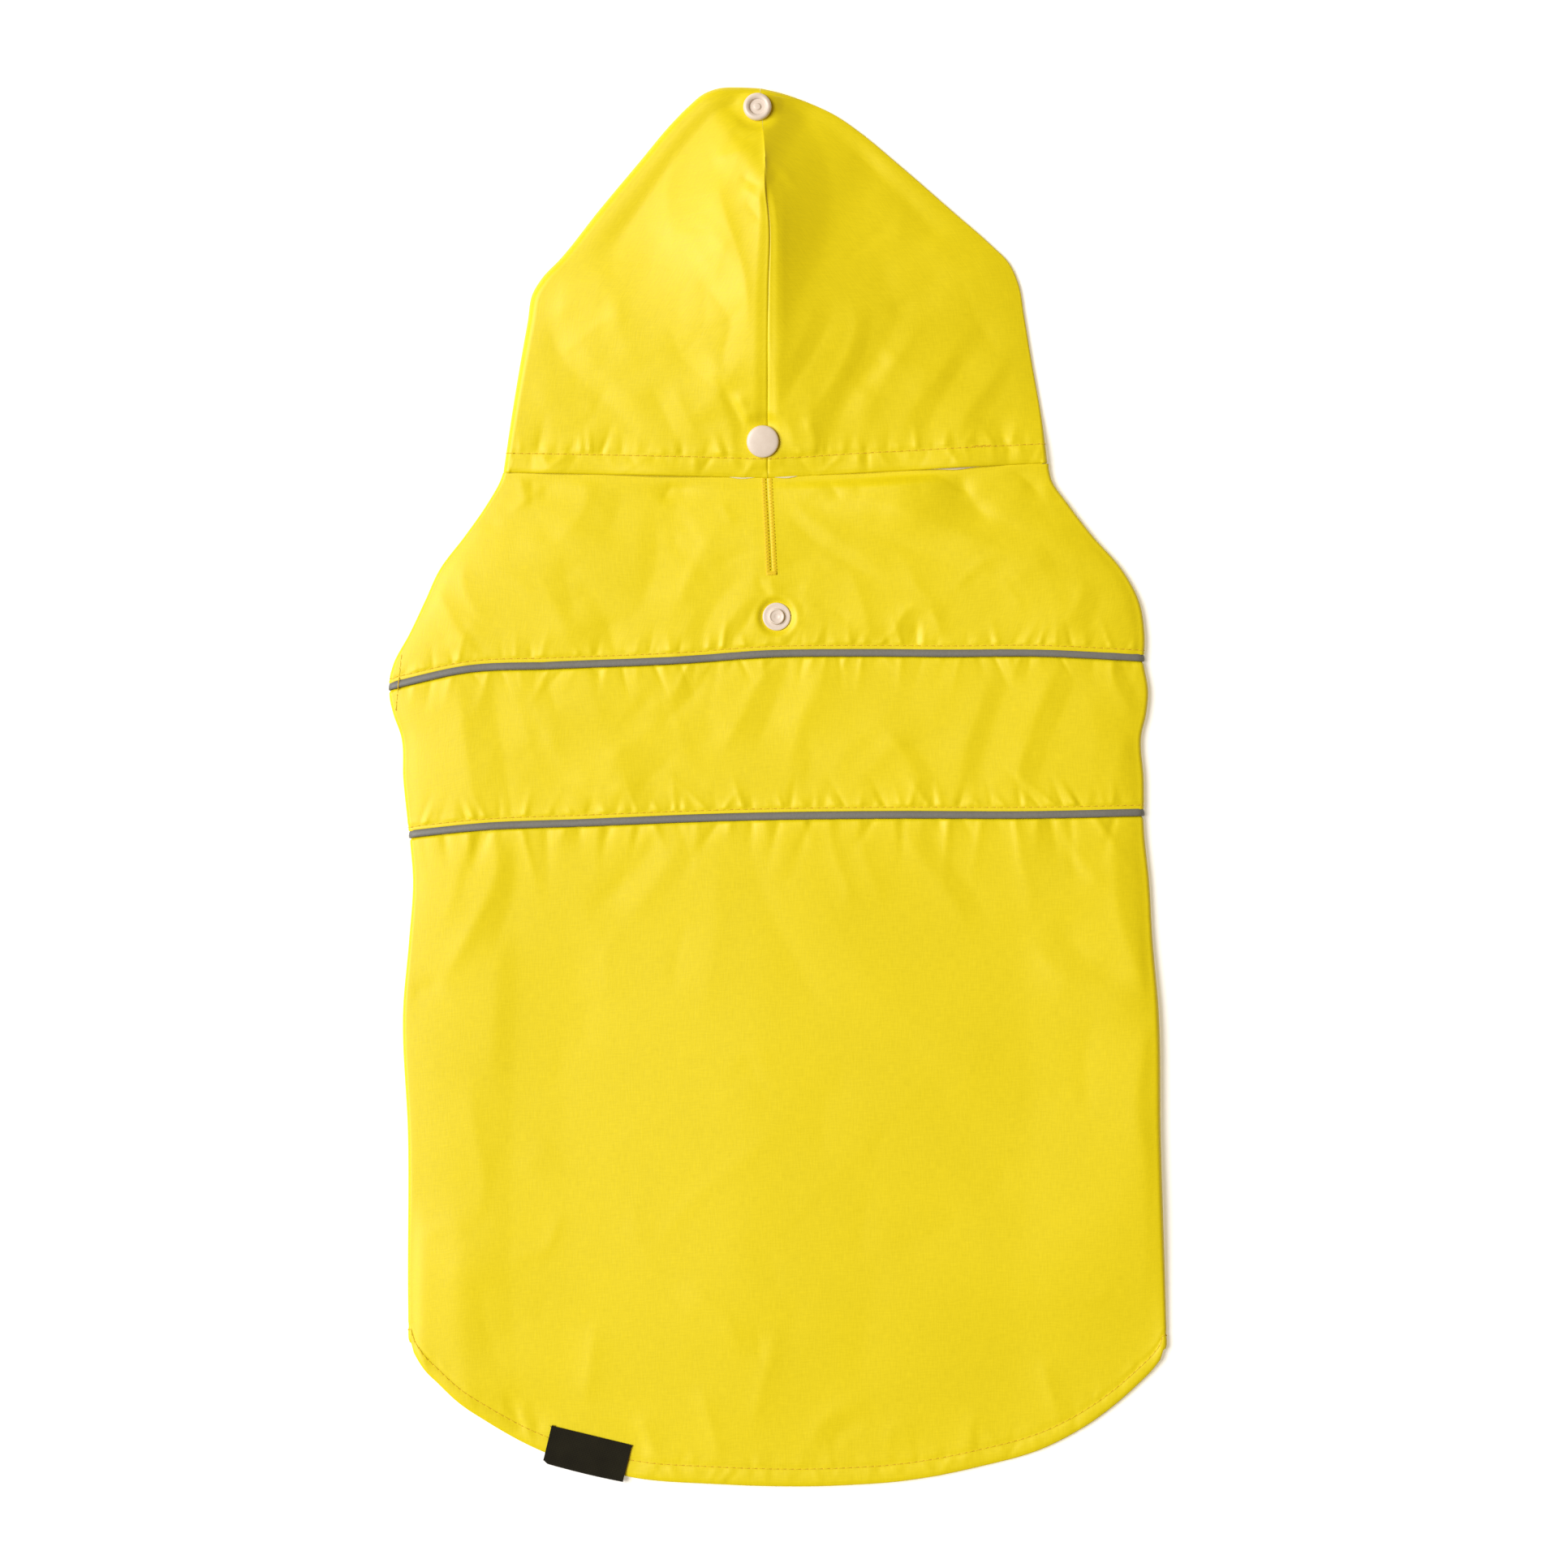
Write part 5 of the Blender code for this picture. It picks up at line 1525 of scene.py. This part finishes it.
def arched_bar(length, half_width, height):
    """A thread that arches over the cloth, its ends sunk in it."""
    t = np.linspace(-1.0, 1.0, 7)
    path = np.column_stack([length / 2 * t, 0 * t, height * (1 - t ** 4) - 0.12])
    up = np.tile(UP, (len(t), 1))
    bar = sweep("bar", path, up, half_width, half_width * 0.8, yellow_thread, sides=6)
    verts = np.array([vertex.co for vertex in bar.data.vertices])
    faces = [tuple(face.vertices) for face in bar.data.polygons]
    flat = np.array([corner.vector for corner in bar.data.uv_layers["flat"].uv])
    bpy.data.objects.remove(bar)
    return Bar(verts, faces, flat)


Step = namedtuple("Step", "place along out")


def walk(path, out, skip):
    """Steps along a path, one for each pitch."""
    lengths = lengths_along(path)
    steps = []
    for at in np.arange(skip * STITCH_PITCH, lengths[-1], STITCH_PITCH):
        run = between(at + LOOK, lengths, path) - between(at - LOOK, lengths, path)
        steps.append(Step(Vector(between(at, lengths, path)), Vector(run).normalized(),
                          Vector(between(at, lengths, out))))
    return steps


def set_down(name, bar, steps, finish, turn=0.0):
    """One piece with a copy of the bar at each step."""
    every_vert, every_face = [], []
    for number, step in enumerate(steps):
        side = step.out.cross(step.along).normalized()
        out = step.along.cross(side).normalized()
        twist = Matrix.Rotation(turn * (1 if number % 2 else -1), 3, "Z")
        frame_here = Matrix((step.along, side, out)).transposed() @ twist
        turned = bar.verts @ np.array(frame_here).T + np.array(step.place * MM)
        every_face += [tuple(corner + len(every_vert) for corner in face) for face in bar.faces]
        every_vert += turned.tolist()
    mesh = bpy.data.meshes.new(name)
    mesh.from_pydata(every_vert, [], every_face)
    flat = np.tile(bar.flat, (len(steps), 1)).reshape(-1).astype(np.float32)
    mesh.uv_layers.new(name="flat").uv.foreach_set("vector", flat)
    mesh.shade_smooth()
    mesh.materials.append(finish)
    piece = bpy.data.objects.new(name, mesh)
    bpy.context.scene.collection.objects.link(piece)
    print(f"{name}: {len(steps)} stitches, {len(mesh.polygons)} faces")
    return piece


# %% [markdown]
# Between a stitch and the next the needle has left a pit.  A pit in the cloth's own mesh would
# need far finer cells, so its shade is painted on instead: a small dark oval on the cloth.  A sewn
# line is two pieces: its threads and the painted shades of its pits.

# %% Sewing along a path
def small_disc(half_length, half_width, height):
    """A flat oval of six corners, for the painted shade of the pit beside a stitch."""
    angles = [math.radians(60 * number) for number in range(6)]
    rim = [(half_length * math.cos(a), half_width * math.sin(a), height) for a in angles]
    return Bar(np.array(rim) * MM, [tuple(range(6))], np.zeros((6, 2)))


stitch = arched_bar(2.0, 0.17, 0.14)
pit_shade_disc = small_disc(0.42, 0.27, 0.045)


def sew(name, path, out, skip=0.5):
    """Stitches along a path, with a painted pit shade between each and the next."""
    line = set_down(name, stitch, walk(path, out, skip), yellow_thread)
    # Painted shade: the dark discs between the stitches stand in for the shade in the needle pits.
    pit_shades = set_down(name + "_painted_pit_shades", pit_shade_disc, walk(path, out, skip + 0.5), painted_pit_shade)
    for piece in (line, pit_shades):
        dress(piece, "shell_cloth")


# %% [markdown]
# A line of stitches runs above each piping, along the hem, and down both inner edges
# underneath, where it goes round the leg holes.

# %% Sewn lines on the back
INNER_STITCH, LEG_HOLE_STITCH = 2.0, 3.2


def sewn_row(name, surface, distance):
    """Along the row whose middle lies at this distance from the last row."""
    middle = surface.points[:, surface.points.shape[1] // 2, 1]
    row = int(np.abs(np.abs(middle - middle[-1]) - distance).argmin())
    sew(name, surface.points[row] + surface.out[row] * (CLOTH / 2), surface.out[row])


sewn_row("stitches_above_upper_piping", cloth["yoke"], SEAM_STITCH)
sewn_row("stitches_above_lower_piping", cloth["band"], SEAM_STITCH)
sewn_row("stitches_skirt_hem", cloth["skirt"], SKIRT_HEM_DEPTH)


def sewn_edge(name, surface, side):
    """Along the inner edge underneath, and round the hem of the leg hole."""
    points, out = surface.points, surface.out
    if side == "right":
        points, out = points[:, ::-1], out[:, ::-1]
    path, up = [], []
    for row, row_out in zip(points[:, :SIDE_COLUMNS], out[:, :SIDE_COLUMNS]):
        at = INNER_STITCH + LEG_HOLE_STITCH * float(leg_hole(row[0, 1]))
        lengths = lengths_along(row)
        up.append(between(at, lengths, row_out))
        path.append(between(at, lengths, row) + up[-1] * CLOTH / 2)
    sew(name, np.array(path), np.array(up))


for panel in (YOKE, BAND, SKIRT):
    for side in SIDES:
        sewn_edge(f"stitches_{panel.name}_{side}", cloth[panel.name], side)

# %% [markdown]
# At the left armhole a short line of stitches runs down over the piping and holds it.  Its
# heights are read off the pieces that it lies on.

# %% The tack over the piping, at the left armhole
TACK_CROSSING, TACK_ON_PIPING = 39.3, 1.9


def face_height(surface, x, y):
    """Height of a cloth's upper face at a place on its top."""
    top = surface.points[:, SIDE_COLUMNS:-SIDE_COLUMNS]
    away = np.hypot(top[..., 0] - x, top[..., 1] - y)
    row, column = np.unravel_index(away.argmin(), away.shape)
    return float(top[row, column, 2]) + CLOTH / 2


def piping_height(x):
    """Height of the upper piping's upper face at x."""
    return max(vertex.co.z for vertex in upper_piping.data.vertices
               if abs(vertex.co.x / MM - x) < 0.9) / MM


tack = np.array([(-144.5 - 0.1 * (51.5 - y), y, 0.0) for y in np.arange(50.8, 29.0, -0.7)])
for place in tack:
    if abs(place[1] - TACK_CROSSING) < TACK_ON_PIPING:
        place[2] = piping_height(place[0])
    else:
        below = "yoke" if place[1] > TACK_CROSSING else "band"
        place[2] = face_height(cloth[below], place[0], place[1])
sew("tack_at_left_armhole", tack, np.tile(UP, (len(tack), 1)))

# %% [markdown]
# Each half of the hood is stitched along its hem and along the border of the face opening.  The
# hem's curve runs across the grid's rows, so its place is looked up on each column, at the depth
# of the hem.  Near the right end a few stitches are doubled.

# %% Sewn lines on the hood
BARTACK_X = (73.7, 81.5)
for side in SIDES:
    surface = hood_cloth[side]
    path, up = [], []
    for column in range(BORDER_COLUMNS, surface.points.shape[1]):
        line = surface.points[:, column]
        from_hem = np.linalg.norm(line - line[0], axis=1)
        up.append(between(HOOD_HEM_DEPTH, from_hem, surface.out[:, column]))
        path.append(between(HOOD_HEM_DEPTH, from_hem, line) + up[-1] * CLOTH / 2)
    path, up = np.array(path), np.array(up)
    sew("stitches_hood_hem_" + side, path, up)
    if side == "right":
        doubled = (path[:, 0] > BARTACK_X[0]) & (path[:, 0] < BARTACK_X[1])
        sew("bartack_on_hood_hem", path[doubled] + (0.0, 0.45, 0.03), up[doubled], skip=0.2)
    opening = surface.points[:, 3] + surface.out[:, 3] * CLOTH / 2
    sew("stitches_face_opening_" + side, opening, surface.out[:, 3])

# %% [markdown]
# ## Leash slot
#
# Both sides of the slit are bound with a dense zigzag.  Each thread of it lies across the edge,
# slanted by turns one way and the other, so the rows of threads make two ribbed beads.

# %% Zigzag beads and bars
ZIGZAG_PITCH, ZIGZAG_SLANT = 0.62, math.radians(11)


def bead(name, offset, length):
    """Threads across a line beside the slit."""
    steps = []
    run = Vector((SLIT_TOP[0] - SLIT_FOOT[0], SLIT_TOP[1] - SLIT_FOOT[1], 0.0)).normalized()
    across = Vector((run.y, -run.x, 0.0))
    for y in np.arange(SLIT_FOOT[1] - 0.6, SLIT_TOP[1] + 1.0, ZIGZAG_PITCH):
        x = float(slit_x(max(y, SLIT_FOOT[1]))) + offset
        place = Vector((x, y, face_height(cloth["yoke"], x, y) - 0.08))
        steps.append(Step(place, across, Vector(UP)))
    bar = arched_bar(length, 0.26, 0.20)
    dress(set_down(name, bar, steps, yellow_thread, turn=ZIGZAG_SLANT), "shell_cloth")


bead("zigzag_left_of_slot", -1.45, 1.85)
bead("zigzag_right_of_slot", 1.20, 1.60)
foot = Vector((SLIT_FOOT[0] - 0.15, SLIT_FOOT[1] - 0.5, 0.0))
bar_steps = []
for number in range(4):
    place = foot + Vector((0.0, -0.34 * number, 0.0))
    place.z = face_height(cloth["yoke"], place.x, place.y) + 0.02
    bar_steps.append(Step(place, Vector((1.0, 0.05, 0.0)), Vector(UP)))
bar = arched_bar(4.4, 0.22, 0.20)
dress(set_down("bar_below_slot", bar, bar_steps, yellow_thread), "shell_cloth")

# %% [markdown]
# ## Snaps
#
# A snap half is a round moulding, so it is drawn up from a disc: extrude a little, scale a
# little, and so on along its profile.  The cap is closed and plain.  The stud and the socket lie
# open and show their rings.

# %% Turned snaps
Turned = namedtuple("Turned", "radius height")


def profile_of(*pairs):
    return [Turned(*pair) for pair in pairs]


CAP = profile_of(
    (5.9, 0), (6.15, 0.2), (6.2, 0.5), (6.17, 0.85), (6, 1.15), (5.7, 1.36), (5.2, 1.5),
    (4.4, 1.62), (3.2, 1.74), (1.8, 1.82), (0.6, 1.85), (0.05, 1.85))
STUD = profile_of(
    (5.2, 0), (5.35, 0.12), (5.37, 0.34), (5.25, 0.55), (4.95, 0.64), (4.6, 0.64), (4.35, 0.6),
    (3.5, 0.58), (3.16, 0.64), (3.04, 0.86), (3, 1.15), (2.95, 1.4), (2.8, 1.55), (2.55, 1.58),
    (2.34, 1.5), (2.2, 1.34), (2.05, 1.28), (1.3, 1.28), (1.05, 1.24), (0.8, 1.12), (0.05, 1.08))
SOCKET = profile_of(
    (5.1, 0), (5.35, 0.25), (5.42, 0.7), (5.38, 1.2), (5.15, 1.7), (4.75, 2.03), (4.3, 2.13),
    (3.9, 2.05), (3.6, 1.86), (3.35, 1.75), (3.18, 1.55), (3.1, 1.15), (2.95, 0.95), (1.7, 0.92),
    (1.45, 0.95), (1.35, 1.25), (1.2, 1.42), (0.85, 1.48), (0.05, 1.48))


SNAP_SIDES, SNAP_LIFT, SMOOTH_SNAP = 72, 0.05, math.radians(40)


def turned(name, profile, seat):
    bpy.ops.object.select_all(action="DESELECT")
    bpy.ops.mesh.primitive_circle_add(vertices=SNAP_SIDES, radius=profile[0].radius * MM,
                                      fill_type="NGON")
    piece = bpy.context.active_object
    piece.name = piece.data.name = name
    bpy.ops.object.mode_set(mode="EDIT")
    for below, above in zip(profile, profile[1:]):
        lift = (0.0, 0.0, (above.height - below.height) * MM)
        bpy.ops.mesh.extrude_region_move(TRANSFORM_OT_translate={"value": lift})
        scale = above.radius / below.radius
        bpy.ops.transform.resize(value=(scale, scale, 1.0))
    bpy.ops.mesh.select_all(action="SELECT")
    bpy.ops.mesh.normals_make_consistent(inside=False)
    bpy.ops.object.mode_set(mode="OBJECT")
    bpy.ops.object.shade_smooth_by_angle(angle=SMOOTH_SNAP)
    normal = -Vector((0.0, seat.slope, -1.0)).normalized()
    place = Vector((seat.x, seat.y, seat.level)) + normal * (CLOTH / 2 + SNAP_LIFT)
    turn = normal.to_track_quat("Z", "Y").to_matrix().to_4x4()
    piece.data.transform(Matrix.Translation(place * MM) @ turn)
    piece.data.materials.append(plastic)
    print(f"{name}: {len(piece.data.polygons)} faces")
    return piece


dress(turned("cap_on_hood_hem", CAP, CAP_SEAT), "snap", "hood_cap_snap")
dress(turned("stud_on_yoke", STUD, STUD_SEAT), "snap", "back_stud_snap")
dress(turned("socket_on_crown", SOCKET, SOCKET_SEAT), "snap", "crown_socket_snap")

# %% [markdown]
# ## Label
#
# The label is a bit of woven ribbon folded round the hem.  Its face is bare here.  Its lower
# edge bows, one corner is rounded, and a few threads have come loose at the upper corners.

# %% Label and its loose threads
LABEL_LENGTH, LABEL_HEIGHT, LABEL_TILT = 31.7, 14.8, math.radians(-13.6)
LABEL_WALL = 0.45
LABEL_OVER, LABEL_UNDER = HEM_LEVEL + 0.85, HEM_LEVEL - 1.35


def label_surface():
    radius = (LABEL_OVER - LABEL_UNDER) / 2
    middle = (LABEL_OVER + LABEL_UNDER) / 2
    along = np.linspace(-1.0, 1.0, 66)
    bow = 0.35 * (1 - along ** 2) - 0.9 * ease((-along - 0.86) / 0.14)
    low = -LABEL_HEIGHT / 2 + LABEL_WALL / 2 + radius - bow
    tilt = np.array(Matrix.Rotation(LABEL_TILT, 2))
    rows = []

    def add(down, level):
        flat = np.column_stack([along * LABEL_LENGTH / 2, down]) @ tilt.T
        wave = 0.07 * np.sin(along * 5.0 + 0.6)
        rows.append(np.column_stack([flat + np.array(LABEL_PLACE), level + wave]))

    for share in np.linspace(0.0, 1.0, 24):
        add(LABEL_HEIGHT / 2 * (1 - share) + low * share, LABEL_OVER)
    for angle in np.radians(np.linspace(90, 270, 13))[1:]:
        add(low + radius * math.cos(angle), middle + radius * math.sin(angle))
    for down in (1.0, 2.0, 3.0, 4.0):
        add(low + down, LABEL_UNDER)
    return laid(np.array(rows))


label_cloth = label_surface()
label = lay_cloth("folded_label", label_cloth, LABEL_WALL, label_black)
dress(label, "label", "label")

draw = np.random.default_rng(5)
loose = []
for corner, lean in ((0, 1.0), (-1, -1.0)):
    for number in range(6):
        start = label_cloth.points[1, corner] + (0.0, 0.0, 0.1)
        start = start + (lean * 0.28 * number, 0.1 * draw.normal(), 0.0)
        heading = Vector((draw.normal(0.0, 0.5), 1.0, 0.1)).normalized()
        loose.append(Step(Vector(start), heading, Vector(UP)))
threads = set_down("loose_label_threads", arched_bar(1.5, 0.09, 0.12), loose, label_black)
dress(threads, "label")
